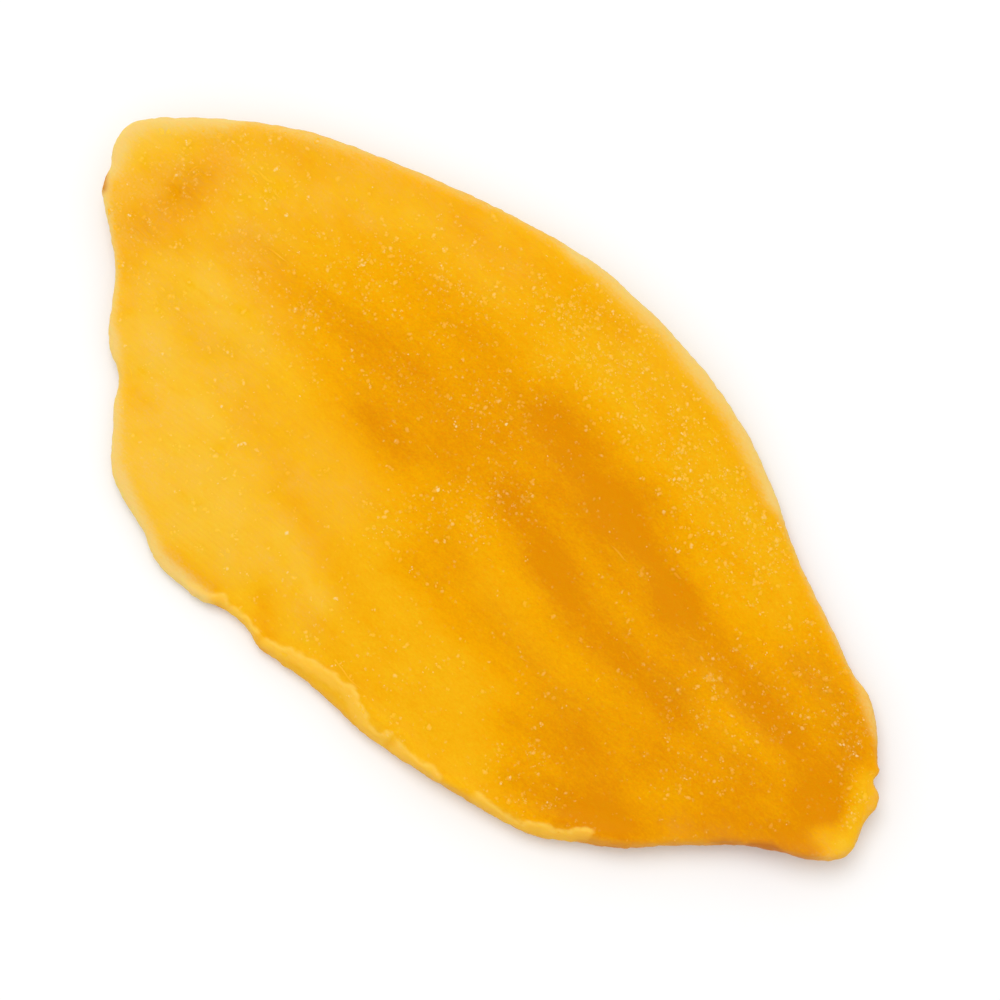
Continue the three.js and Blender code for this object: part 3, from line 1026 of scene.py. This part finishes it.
class Wiring:
    """Adds nodes to a tree and joins them."""

    def __init__(self, tree: bpy.types.NodeTree) -> None:
        """Starts on an empty tree."""
        self.tree = tree
        tree.nodes.clear()

    def add(self, kind: str, **settings: object) -> bpy.types.Node:
        """Adds a node.

        Args:
            kind: Its type, without the ShaderNode before it.
            **settings: The node's own properties.

        Returns:
            The node.
        """
        node = self.tree.nodes.new(kind if kind.startswith("Node") else "ShaderNode" + kind)
        for name, value in settings.items():
            setattr(node, name, value)
        return node

    def feed(self, target: bpy.types.NodeSocket, source: object) -> None:
        """Sets a socket to a value, or joins it to another socket."""
        if isinstance(source, bpy.types.NodeSocket):
            self.tree.links.new(source, target)
        else:
            target.default_value = source

    def maths(self, operation: str, *values: object, clamp: bool = False) -> bpy.types.NodeSocket:
        """Result of a Math node on values or sockets."""
        node = self.add("Math", operation=operation, use_clamp=clamp)
        for socket, value in zip(node.inputs, values):
            self.feed(socket, value)
        return node.outputs[0]

    def attribute(self, name: str) -> bpy.types.NodeSocket:
        """A number that the mesh carries at every vertex."""
        return self.add("Attribute", attribute_name=name).outputs["Fac"]

    def blend(self, share: object, first: object, second: object) -> bpy.types.NodeSocket:
        """Colour between two others."""
        node = self.add("Mix", data_type="RGBA")
        self.feed(node.inputs[0], share)
        for socket, value in zip((node.inputs[6], node.inputs[7]), (first, second)):
            self.feed(socket, (*value, 1.0) if isinstance(value, tuple) else value)
        return node.outputs[2]

    def steps(self, value: object, low: float, high: float) -> bpy.types.NodeSocket:
        """Smooth step of a value from 0 at low to 1 at high."""
        node = self.add("MapRange", interpolation_type="SMOOTHSTEP")
        for socket, item in zip(node.inputs, (value, low, high)):
            self.feed(socket, item)
        return node.outputs[0]

    def millimetres(self) -> bpy.types.NodeSocket:
        """Place on the object, in millimetres."""
        return self.scaled(self.add("TexCoord").outputs["Object"], 1 / MM)

    def scaled(self, vector: bpy.types.NodeSocket, share: object) -> bpy.types.NodeSocket:
        """A vector times a number."""
        node = self.add("VectorMath", operation="SCALE")
        self.feed(node.inputs[0], vector)
        self.feed(node.inputs["Scale"], share)
        return node.outputs[0]

    def noise(self, place: bpy.types.NodeSocket, scale: float, detail: object) -> bpy.types.Node:
        """Adds a noise texture."""
        node = self.add("TexNoise")
        self.feed(node.inputs["Vector"], place)
        node.inputs["Scale"].default_value = scale
        self.feed(node.inputs["Detail"], detail)
        return node

    def shader(self, roughness: object, specular: float) -> bpy.types.Node:
        """Adds the Principled shader that the surface shows."""
        node = self.add("BsdfPrincipled")
        self.feed(node.inputs["Roughness"], roughness)
        node.inputs["Specular IOR Level"].default_value = specular
        self.feed(self.add("OutputMaterial").inputs["Surface"], node.outputs[0])
        return node

    def dimmed(self, colour: bpy.types.NodeSocket, level: float) -> bpy.types.NodeSocket:
        """A colour brought down to a share of its brightness."""
        node = self.add("HueSaturation")
        node.inputs["Value"].default_value = level
        self.feed(node.inputs["Color"], colour)
        return node.outputs["Color"]

    def group(self, tree: bpy.types.NodeTree, **inputs: object) -> bpy.types.Node:
        """Places a shared effect.

        Args:
            tree: The effect's node group.
            **inputs: Values or sockets for its named inputs, with _ for each space.

        Returns:
            The group's node.
        """
        node = self.add("Group", node_tree=tree)
        for name, value in inputs.items():
            self.feed(node.inputs[name.replace("_", " ")], value)
        return node


def new_material(name: str) -> tuple[bpy.types.Material, Wiring]:
    """Makes a material without nodes, and the wiring that adds them."""
    material = bpy.data.materials.new(name)
    material.use_nodes = True
    return material, Wiring(material.node_tree)


class Socket(Enum):
    """Kinds of socket that an effect has."""

    NUMBER = "NodeSocketFloat"
    VECTOR = "NodeSocketVector"
    COLOUR = "NodeSocketColor"


class Effect:
    """A shader node group with named inputs and outputs, built once."""

    def __init__(self, name: str, inputs: dict[str, float | None], outputs: dict[str, Socket]) -> None:
        """Makes the group's sockets.

        Args:
            name: The group's name.
            inputs: Each input's name with its default: a number, or None for a vector.
            outputs: Each output's name with its kind.
        """
        self.tree = bpy.data.node_groups.new(name, "ShaderNodeTree")
        for socket, value in inputs.items():
            kind = Socket.VECTOR if value is None else Socket.NUMBER
            made = self.tree.interface.new_socket(socket, in_out="INPUT", socket_type=kind.value)
            if value is not None:
                made.default_value = value
        for socket, kind in outputs.items():
            self.tree.interface.new_socket(socket, in_out="OUTPUT", socket_type=kind.value)
        self.wiring = Wiring(self.tree)
        self.inputs = self.wiring.add("NodeGroupInput").outputs
        self.outputs = self.wiring.add("NodeGroupOutput").inputs


def grain_effect() -> bpy.types.NodeTree:
    """Soft mottling drawn out along the fibres: a Value about 0 and a Height from 0 to 1."""
    inputs = {"Place": None, "Along": 6.0, "Across": 1.5, "Detail": 2.0}
    effect = Effect("fibre grain", inputs, {"Value": Socket.NUMBER, "Height": Socket.NUMBER})
    w, given = effect.wiring, effect.inputs
    size = w.add("CombineXYZ")
    w.feed(size.inputs["X"], given["Along"])
    w.feed(size.inputs["Y"], given["Across"])
    w.feed(size.inputs["Z"], given["Across"])
    scaled = w.add("VectorMath", operation="DIVIDE")
    w.feed(scaled.inputs[0], given["Place"])
    w.feed(scaled.inputs[1], size.outputs[0])
    texture = w.noise(scaled.outputs[0], 1.0, given["Detail"])
    w.feed(effect.outputs["Value"], w.maths("SUBTRACT", texture.outputs["Fac"], 0.5))
    w.feed(effect.outputs["Height"], texture.outputs["Fac"])
    return effect.tree


@dataclass(frozen=True)
class Specks:
    """A layer of uneven specks, most of them faint.

    Args:
        cell: Size of the cells, each of which holds one speck or none.
        bend: How far noise bends the cells, in cells.
        bend_scale: How fine that noise is.
        radius: Half size of the smallest speck, in cells.
        radius_range: How much more the largest has.
        onset: How far the density passes a cell's own draw before its speck is whole.
        rarity: Power that keeps thick specks rare.
        faintest: How thick the faintest speck is.
    """

    cell: float
    bend: float = 1.1
    bend_scale: float = 2.4
    radius: float = 0.35
    radius_range: float = 0.25
    onset: float = 0.06
    rarity: float = 2.5
    faintest: float = 0.2

    def layer(
        self, w: Wiring, place: bpy.types.NodeSocket, density: bpy.types.NodeSocket
    ) -> bpy.types.NodeSocket:
        """Adds the layer to an effect.

        Args:
            w: The effect's wiring.
            place: Where, in millimetres.
            density: Share of the cells that hold a speck.

        Returns:
            How thick the specks are, from 0 to 1.
        """
        scaled = w.scaled(place, 1 / self.cell)
        bent = w.add("VectorMath", operation="MULTIPLY_ADD")
        w.feed(bent.inputs[0], w.noise(scaled, self.bend_scale, 1.0).outputs["Color"])
        w.feed(bent.inputs[1], (self.bend,) * 3)
        w.feed(bent.inputs[2], scaled)
        cells = w.add("TexVoronoi", voronoi_dimensions="2D")
        w.feed(cells.inputs["Vector"], bent.outputs[0])
        cells.inputs["Scale"].default_value = 1.0
        draws = w.add("SeparateColor")
        w.feed(draws.inputs[0], cells.outputs["Color"])
        size = w.maths("MULTIPLY_ADD", draws.outputs[0], self.radius_range, self.radius)
        core = w.steps(cells.outputs["Distance"], size, 0.0)
        present = w.steps(w.maths("SUBTRACT", density, draws.outputs[1]), 0.0, self.onset)
        strength = w.maths("POWER", draws.outputs[2], self.rarity)
        strength = w.maths("MULTIPLY_ADD", strength, 1 - self.faintest, self.faintest)
        return w.maths("MULTIPLY", w.maths("MULTIPLY", core, present), strength)


@dataclass(frozen=True)
class SugarBloom:
    """Dried film too thin to be flakes: ragged blots where there is Film, and finer specks of its own.

    Args:
        blots: The film's own blots, apart from those round the clumps of flakes.
        blot_density: Share of the density at which they come.
        blot_rise: How thick they are.
        grit_scale: How fine the noise is that tears the film's edges.
        grit_detail: How rough it is.
        tear: How far it tears them.
        most_film: Thickness past which film gets no wider.
        edge: Thickness at which film begins to show, and at which it is whole.
        specks: The finest specks.
        speck_base: Share of their cells that are full without film.
        speck_density: How much the density adds to that share.
        film_density: How much film adds to it.
    """

    blots: Specks = Specks(0.55)
    blot_density: float = 0.42
    blot_rise: float = 1.4
    grit_scale: float = 4.2
    grit_detail: float = 1.5
    tear: float = 2.56
    most_film: float = 1.3
    edge: Range = (0.3, 1.5)
    specks: Specks = Specks(0.42)
    speck_base: float = 0.05
    speck_density: float = 0.3
    film_density: float = 0.3

    def build(self) -> bpy.types.NodeTree:
        """Builds the effect, which puts out a Mask."""
        inputs = {"Place": None, "Density": 0.3, "Film": 0.0}
        effect = Effect("sugar bloom", inputs, {"Mask": Socket.NUMBER})
        w, given = effect.wiring, effect.inputs
        grit = w.noise(given["Place"], self.grit_scale, self.grit_detail).outputs["Fac"]
        torn = w.maths("MULTIPLY_ADD", grit, self.tear, -self.tear / 2)
        density = w.maths("MULTIPLY", given["Density"], self.blot_density)
        blots = self.blots.layer(w, given["Place"], density)
        film = w.maths("MULTIPLY_ADD", blots, self.blot_rise, given["Film"])
        ragged = w.steps(w.maths("ADD", w.maths("MINIMUM", film, self.most_film), torn), *self.edge)
        thick = w.maths("MULTIPLY", ragged, w.maths("MINIMUM", film, 1.0))
        density = w.maths("MULTIPLY_ADD", given["Density"], self.speck_density, self.speck_base)
        density = w.maths("MULTIPLY_ADD", thick, self.film_density, density)
        specks = self.specks.layer(w, given["Place"], density)
        w.feed(effect.outputs["Mask"], w.maths("ADD", thick, specks))
        return effect.tree


RIPE_COLOURS: tuple[tuple[float, Colour], ...] = (
    (0.0, linear(250, 205, 64)),
    (0.33, linear(250, 190, 22)),
    (0.66, linear(246, 172, 0)),
    (1.0, linear(230, 145, 0)),
)


def ripeness_effect() -> bpy.types.NodeTree:
    """The flesh's own colour, from pale gold at a Tone of 0 to deep amber at 1: a Colour."""
    effect = Effect("ripeness", {"Tone": 0.4}, {"Colour": Socket.COLOUR})
    w = effect.wiring
    ramp = w.add("ValToRGB")
    for _ in range(len(RIPE_COLOURS) - len(ramp.color_ramp.elements)):
        ramp.color_ramp.elements.new(0.5)
    for element, (position, colour) in zip(ramp.color_ramp.elements, RIPE_COLOURS):
        element.position = position
        element.color = (*colour, 1.0)
    w.feed(ramp.inputs[0], effect.inputs["Tone"])
    w.feed(effect.outputs["Colour"], ramp.outputs["Color"])
    return effect.tree


@dataclass(frozen=True)
class Effects:
    """The effects that the finishes share."""

    grain: bpy.types.NodeTree
    bloom: bpy.types.NodeTree
    ripeness: bpy.types.NodeTree

    @classmethod
    def build(cls) -> "Effects":
        """Builds all three."""
        return cls(grain_effect(), SugarBloom().build(), ripeness_effect())


@dataclass(frozen=True)
class Grain:
    """One layer of mottling.

    Args:
        along: Length of a mottle along the fibres.
        across: Its width.
        detail: How rough its outline is.
    """

    along: float
    across: float
    detail: float

    def lay(self, w: Wiring, effects: Effects, place: bpy.types.NodeSocket) -> bpy.types.NodeOutputs:
        """Places the grain effect with these sizes, and gives its outputs."""
        sizes = {"Along": self.along, "Across": self.across, "Detail": self.detail}
        return w.group(effects.grain, Place=place, **sizes).outputs


@dataclass(frozen=True)
class FleshFinish:
    """Dried mango flesh: satin, slightly see-through, gold to amber.

    Args:
        clear: Painted colour of light shining through the thin rims.
        brown: Colour of the browned edges, which is also the painted shade on the walls along the cut and
            lower right edges.
        wall: Colour of the steep walls: partly the cut wall's own duller ochre, partly painted shade.
        flap: Colour of the folded flaps.
        crest: Colour of the painted highlight along their crests.
        milky: Colour of the haze.
        bloom: Colour of the sugar's film.
        fine: The finer mottling.
        pores: The finest mottling.
        fibre: The grain of the fibres.
        fine_tone: How much the finer mottling changes the tone.
        pore_tone: How much the finest does.
        fibre_tone: How much the fibres do.
        haze: Share of milky film all over.
        patch_haze: Share that a patch of full strength adds.
        haze_fine: How the finer mottling varies the haze.
        haze_pores: How the finest does.
        shaded_wall_share: Share of that colour, with its painted shade, that the walls show.
        flap_share: Share that the flaps show.
        flap_wall: What that loses where they fold down the wall.
        flap_inner: Distances past the crest at which a flap begins, and is whole.
        flap_outer: Distances past the crest at which it thins out, and is gone.
        backlight_fine: How the finer mottling frays that painted glow.
        backlight_pores: How the finest does.
        backlight_edge: Strength at which a rim's painted glow begins to show, and is whole.
        backlight_share: Share of its own colour that it shows.
        highlight_past: How far from the step the painted highlight is brightest.
        highlight_half: Distances from there at which it is still whole, and gone.
        highlight_share: Share of the highlight's colour that a crest shows.
        highlight_fine: How the finer mottling varies that.
        film_share: Share of its own colour that the sugar's film shows.
        film_rough: How much rougher it is.
        bump: Depth of the fine relief.
        bump_fibre: Share of the fibres in it.
        bump_fine: Share of the finer mottling in it.
        level: Share of the display colour that the flesh itself returns.
        roughness: How dull it is.
        specular: Strength of its weak gloss.
        sheen: What that gloss is tinted with.
        depth: Share of the light that goes under the surface.
        depth_reach: How far red, green and blue light go there, as shares of the depth scale.
        depth_scale: Length of that scale.
    """

    clear: Colour = linear(243, 209, 122)
    brown: Colour = linear(204, 123, 38)
    wall: Colour = linear(232, 172, 84)
    flap: Colour = linear(255, 199, 70)
    crest: Colour = linear(252, 206, 88)
    milky: Colour = linear(249, 199, 104)
    bloom: Colour = linear(250, 208, 122)
    fine: Grain = Grain(0.9, 0.5, 2.0)
    pores: Grain = Grain(0.3, 0.22, 1.5)
    fibre: Grain = Grain(6.0, 0.3, 0.0)
    fine_tone: float = 0.22
    pore_tone: float = 0.32
    fibre_tone: float = 0.08
    haze: float = 0.006
    patch_haze: float = 0.3
    haze_fine: float = 1.4
    haze_pores: float = 2.8
    shaded_wall_share: float = 0.6
    flap_share: float = 0.8
    flap_wall: float = -0.45
    flap_inner: Range = (0.12, -0.2)
    flap_outer: Range = (-0.8, -1.6)
    backlight_fine: float = 0.3
    backlight_pores: float = 0.35
    backlight_edge: Range = (0.1, 0.85)
    backlight_share: float = 0.9
    highlight_past: float = -0.12
    highlight_half: Range = (0.05, 0.38)
    highlight_share: float = 0.45
    highlight_fine: float = 1.6
    film_share: float = 0.42
    film_rough: float = 0.3
    bump: float = 0.05
    bump_fibre: float = 0.5
    bump_fine: float = 0.7
    level: float = 0.9
    roughness: float = 0.5
    specular: float = 0.05
    sheen: Colour = (1.0, 0.72, 0.1)
    depth: float = 0.35
    depth_reach: Triple = (1.0, 0.4, 0.08)
    depth_scale: float = 1.6

    def material(self, effects: Effects) -> bpy.types.Material:
        """Builds the material.

        Args:
            effects: The shared effects.

        Returns:
            The flesh's material.
        """
        material, w = new_material("dried mango flesh")
        place = w.millimetres()
        fine = self.fine.lay(w, effects, place)
        pores = self.pores.lay(w, effects, place)
        fibre = self.fibre.lay(w, effects, self._drifted(w, place))
        tone = w.attribute("tone")
        for layer, share in ((fine, self.fine_tone), (pores, self.pore_tone), (fibre, self.fibre_tone)):
            tone = w.maths("MULTIPLY_ADD", layer["Value"], share, tone)
        colour = w.group(effects.ripeness, Tone=tone).outputs["Colour"]
        colour = w.blend(self._haze(w, fine["Value"], pores["Value"]), colour, self.milky)
        # Steep walls darker: their own duller colour and painted shade
        colour = w.blend(w.maths("MULTIPLY", w.attribute("wall"), self.shaded_wall_share), colour, self.wall)
        colour = self._flaps(w, colour)
        # Painted glow of light shining through the thin rims
        colour = self._painted_backlight(w, colour, fine["Value"], pores["Value"])
        # Painted highlight along the flaps' crests
        colour = self._crest_highlights(w, colour, fine["Value"])
        # Browned edges and their painted shade
        colour = w.blend(w.attribute("brown"), colour, self.brown)
        density, film = w.attribute("frost"), w.attribute("film")
        specks = w.group(effects.bloom, Place=place, Density=density, Film=film).outputs["Mask"]
        specks = w.maths("MULTIPLY", specks, self.film_share, clamp=True)
        colour = w.blend(specks, colour, self.bloom)
        roughness = w.maths("MULTIPLY_ADD", specks, self.film_rough, self.roughness)
        shader = w.shader(roughness, self.specular)
        w.feed(shader.inputs["Base Color"], w.dimmed(colour, self.level))
        w.feed(shader.inputs["Normal"], self._relief(w, fine["Height"], fibre["Height"]))
        shader.inputs["Specular Tint"].default_value = (*self.sheen, 1.0)
        shader.inputs["Subsurface Weight"].default_value = self.depth
        shader.inputs["Subsurface Radius"].default_value = self.depth_reach
        shader.inputs["Subsurface Scale"].default_value = self.depth_scale * MM
        return material

    @staticmethod
    def _drifted(w: Wiring, place: bpy.types.NodeSocket) -> bpy.types.NodeSocket:
        """The place moved sideways a little, so that the fibres bend."""
        drift = w.add("CombineXYZ")
        w.feed(drift.inputs["Y"], w.attribute("drift"))
        drifted = w.add("VectorMath", operation="ADD")
        w.feed(drifted.inputs[0], place)
        w.feed(drifted.inputs[1], drift.outputs[0])
        return drifted.outputs[0]

    def _haze(
        self, w: Wiring, fine: bpy.types.NodeSocket, pores: bpy.types.NodeSocket
    ) -> bpy.types.NodeSocket:
        """Share of milky film, uneven down to the pores."""
        amount = w.maths("MULTIPLY_ADD", w.attribute("milky"), self.patch_haze, self.haze)
        uneven = w.maths("MULTIPLY_ADD", fine, self.haze_fine, 1.0)
        uneven = w.maths("MULTIPLY_ADD", pores, self.haze_pores, uneven)
        return w.maths("MULTIPLY", amount, uneven, clamp=True)

    def _relief(
        self, w: Wiring, fine: bpy.types.NodeSocket, fibre: bpy.types.NodeSocket
    ) -> bpy.types.NodeSocket:
        """The surface's direction with its finest relief."""
        bump = w.add("Bump")
        bump.inputs["Distance"].default_value = self.bump * MM
        bump.inputs["Strength"].default_value = 1.0
        height = w.maths("MULTIPLY", fine, self.bump_fine)
        w.feed(bump.inputs["Height"], w.maths("MULTIPLY_ADD", fibre, self.bump_fibre, height))
        return bump.outputs["Normal"]

    def _flaps(self, w: Wiring, colour: bpy.types.NodeSocket) -> bpy.types.NodeSocket:
        """The colour with the folded flaps, which fade down the wall."""
        past = w.attribute("crest")
        over = w.maths("SUBTRACT", w.steps(past, *self.flap_inner), w.steps(past, *self.flap_outer))
        folded = w.maths("MULTIPLY_ADD", w.attribute("wall"), self.flap_wall, self.flap_share)
        shown = w.maths("MULTIPLY", w.attribute("flap"), folded)
        return w.blend(w.maths("MULTIPLY", over, shown, clamp=True), colour, self.flap)

    def _painted_backlight(
        self,
        w: Wiring,
        colour: bpy.types.NodeSocket,
        fine: bpy.types.NodeSocket,
        pores: bpy.types.NodeSocket,
    ) -> bpy.types.NodeSocket:
        """The colour with the painted glow of light shining through the thin rims, whose inner edges are
        frayed.
        """
        ragged = w.maths("MULTIPLY_ADD", fine, self.backlight_fine, w.attribute("clear"))
        ragged = w.maths("MULTIPLY_ADD", pores, self.backlight_pores, ragged)
        share = w.maths("MULTIPLY", w.steps(ragged, *self.backlight_edge), self.backlight_share)
        return w.blend(share, colour, self.clear)

    def _crest_highlights(
        self, w: Wiring, colour: bpy.types.NodeSocket, fine: bpy.types.NodeSocket
    ) -> bpy.types.NodeSocket:
        """The colour with the painted, uneven highlight along the flaps' crests."""
        apart = w.maths("ABSOLUTE", w.maths("SUBTRACT", w.attribute("crest"), self.highlight_past))
        crest = w.maths("SUBTRACT", 1.0, w.steps(apart, *self.highlight_half))
        share = w.maths("MULTIPLY_ADD", fine, self.highlight_fine, self.highlight_share)
        share = w.maths("MULTIPLY", crest, share, clamp=True)
        return w.blend(w.maths("MULTIPLY", share, w.attribute("flap")), colour, self.crest)


@dataclass(frozen=True)
class CrumbFinish:
    """What lies on the flesh and lets its colour show through: crumbs of sugar, or loose fibres.

    Args:
        name: The material's name.
        pale: The colour that it would have if nothing showed through.
        grain: Its streaks.
        uneven: How much its cover varies within a flake or along a fibre.
        least: Share of the flesh's colour that it hides where it is thinnest.
        level: Share of the display colour that it returns.
        roughness: How dull it is.
        specular: Strength of its weak gloss.
        streak_tone: How much the streaks change the tone of what shows through.
        streak_rough: How much they change the roughness.
    """

    name: str
    pale: Colour
    grain: Grain
    uneven: float = 2.4
    least: float = 0.03
    level: float = 1.0
    roughness: float = 0.6
    specular: float = 0.1
    streak_tone: float = 0.2
    streak_rough: float = 0.2

    def material(self, effects: Effects) -> bpy.types.Material:
        """Builds the material.

        Args:
            effects: The shared effects.

        Returns:
            The material, which reads the tone and cover attributes.
        """
        material, w = new_material(self.name)
        fine = self.grain.lay(w, effects, w.millimetres())["Value"]
        tone = w.maths("MULTIPLY_ADD", fine, self.streak_tone, w.attribute("tone"))
        share = w.maths("MULTIPLY_ADD", fine, self.uneven, 1.0)
        share = w.maths("MULTIPLY", share, w.attribute("cover"))
        share = w.maths("MAXIMUM", share, self.least, clamp=True)
        colour = w.blend(share, w.group(effects.ripeness, Tone=tone).outputs["Colour"], self.pale)
        roughness = w.maths("MULTIPLY_ADD", fine, self.streak_rough, self.roughness)
        shader = w.shader(roughness, self.specular)
        w.feed(shader.inputs["Base Color"], w.dimmed(colour, self.level))
        return material


SUGAR = CrumbFinish("sugar crumbs", linear(240, 208, 138), Grain(0.15, 0.15, 1.0), level=0.95)
FIBRE = CrumbFinish("mango fibres", linear(243, 200, 112), Grain(0.5, 0.15, 1.0), level=0.96)


@dataclass(frozen=True)
class Studio:
    """Plain white floor, soft light and the photograph's camera.

    Args:
        lens: The camera's focal length.
        sensor: Its sensor's width.
        elevation: Degrees by which it looks down on the slice.
        turn: Degrees by which its right side is turned from the part's x axis.
        distance: How far it is from its target.
        target: What it looks at, in the part's frame.
        clip: Nearest and farthest distance that it sees, in metres.
        floor_radius: Half the floor's width.
        floor_drop: How far it lies under the slice.
        floor_grey: How much light it returns.
        floor_rough: How dull it is.
        floor_gloss: Strength of its weak gloss.
        fill: Strength of the even light all round.
        key_power: The lamp's power in watts.
        key_size: The lamp's width.
        key_place: The lamp's place to the camera's right, upwards and backwards.
    """

    lens: float = 100.0
    sensor: float = 36.0
    elevation: float = 82.0
    turn: float = 42.31
    distance: float = 280.0
    target: Triple = (2.30, 1.73, 2.0)
    clip: Range = (0.01, 10.0)
    floor_radius: float = 3000.0
    floor_drop: float = 0.05
    floor_grey: float = 0.93
    floor_rough: float = 0.9
    floor_gloss: float = 0.1
    fill: float = 0.8
    key_power: float = 3.6
    key_size: float = 700.0
    key_place: Triple = (-120.0, 420.0, 850.0)

    def axes(self) -> tuple[Vector, Vector, Vector]:
        """The camera's right, up and backward directions."""
        turn, elevation = math.radians(self.turn), math.radians(self.elevation)
        right = Vector((math.cos(turn), math.sin(turn), 0.0))
        level = Vector((-math.sin(turn), math.cos(turn), 0.0))
        back = Vector((0.0, 0.0, math.sin(elevation))) - level * math.cos(elevation)
        return right, back.cross(right), back

    def build(self) -> None:
        """Makes the camera, the floor, the lamp and the pale surroundings."""
        self._camera()
        self._floor()
        self._lamp()
        self._surroundings()

    def _camera(self) -> None:
        """Adds the camera where the photograph was taken."""
        data = bpy.data.cameras.new("camera")
        data.lens, data.sensor_width = self.lens, self.sensor
        data.clip_start, data.clip_end = self.clip
        camera = new_object("camera", data)
        right, up, back = self.axes()
        place = Vector(self.target) * MM + back * (self.distance * MM)
        camera.matrix_world = Matrix.Translation(place) @ Matrix((right, up, back)).transposed().to_4x4()
        bpy.context.scene.camera = camera

    def _floor(self) -> None:
        """Adds a wide plain floor just under the slice."""
        bm = bmesh.new()
        bmesh.ops.create_circle(bm, cap_ends=True, segments=64, radius=self.floor_radius * MM)
        bmesh.ops.translate(bm, verts=bm.verts, vec=(0.0, 0.0, -self.floor_drop * MM))
        mesh = bpy.data.meshes.new("floor")
        bm.to_mesh(mesh)
        bm.free()
        material, w = new_material("white floor")
        shader = w.shader(self.floor_rough, self.floor_gloss)
        shader.inputs["Base Color"].default_value = (*(self.floor_grey,) * 3, 1.0)
        mesh.materials.append(material)
        floor = new_object("floor", mesh)

    def _lamp(self) -> None:
        """Adds the soft lamp, up and to the left of the camera."""
        data = bpy.data.lights.new("softbox", "AREA")
        data.shape, data.size, data.energy = "DISK", self.key_size * MM, self.key_power
        lamp = new_object("softbox", data)
        place = sum((axis * part for axis, part in zip(self.axes(), self.key_place)), Vector()) * MM
        lamp.matrix_world = Matrix.Translation(place) @ place.to_track_quat("Z", "Y").to_matrix().to_4x4()

    def _surroundings(self) -> None:
        """Fills the rest with even white light."""
        world = bpy.data.worlds.new("studio")
        world.use_nodes = True
        w = Wiring(world.node_tree)
        background = w.add("Background")
        background.inputs["Color"].default_value = (1.0, 1.0, 1.0, 1.0)
        background.inputs["Strength"].default_value = self.fill
        w.feed(w.add("OutputWorld").inputs["Surface"], background.outputs[0])
        bpy.context.scene.world = world
        bpy.context.scene.view_settings.view_transform = "Standard"


def report(piece: bpy.types.Object) -> None:
    """Logs a piece's name and its number of triangles."""
    piece.data.calc_loop_triangles()
    log.info("%s: %d triangles", piece.name, len(piece.data.loop_triangles))


def main() -> None:
    """Builds the studio, then the flesh, then the fibres and the sugar on it."""
    logging.basicConfig(level=logging.INFO, format="%(name)s %(message)s")
    Studio().build()
    effects = Effects.build()
    flesh = MangoSlice().build(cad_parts[NODE])
    flesh.data.materials.append(FleshFinish().material(effects))
    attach(flesh, BODY)
    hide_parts(NODE)
    report(flesh)
    fibres = LooseFibres().build(flesh)
    fibres.data.materials.append(FIBRE.material(effects))
    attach(fibres, BODY)
    report(fibres)
    crumbs = SugarDusting().build(flesh)
    crumbs.data.materials.append(SUGAR.material(effects))
    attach(crumbs, BODY)
    report(crumbs)


if __name__ == "__main__":
    main()
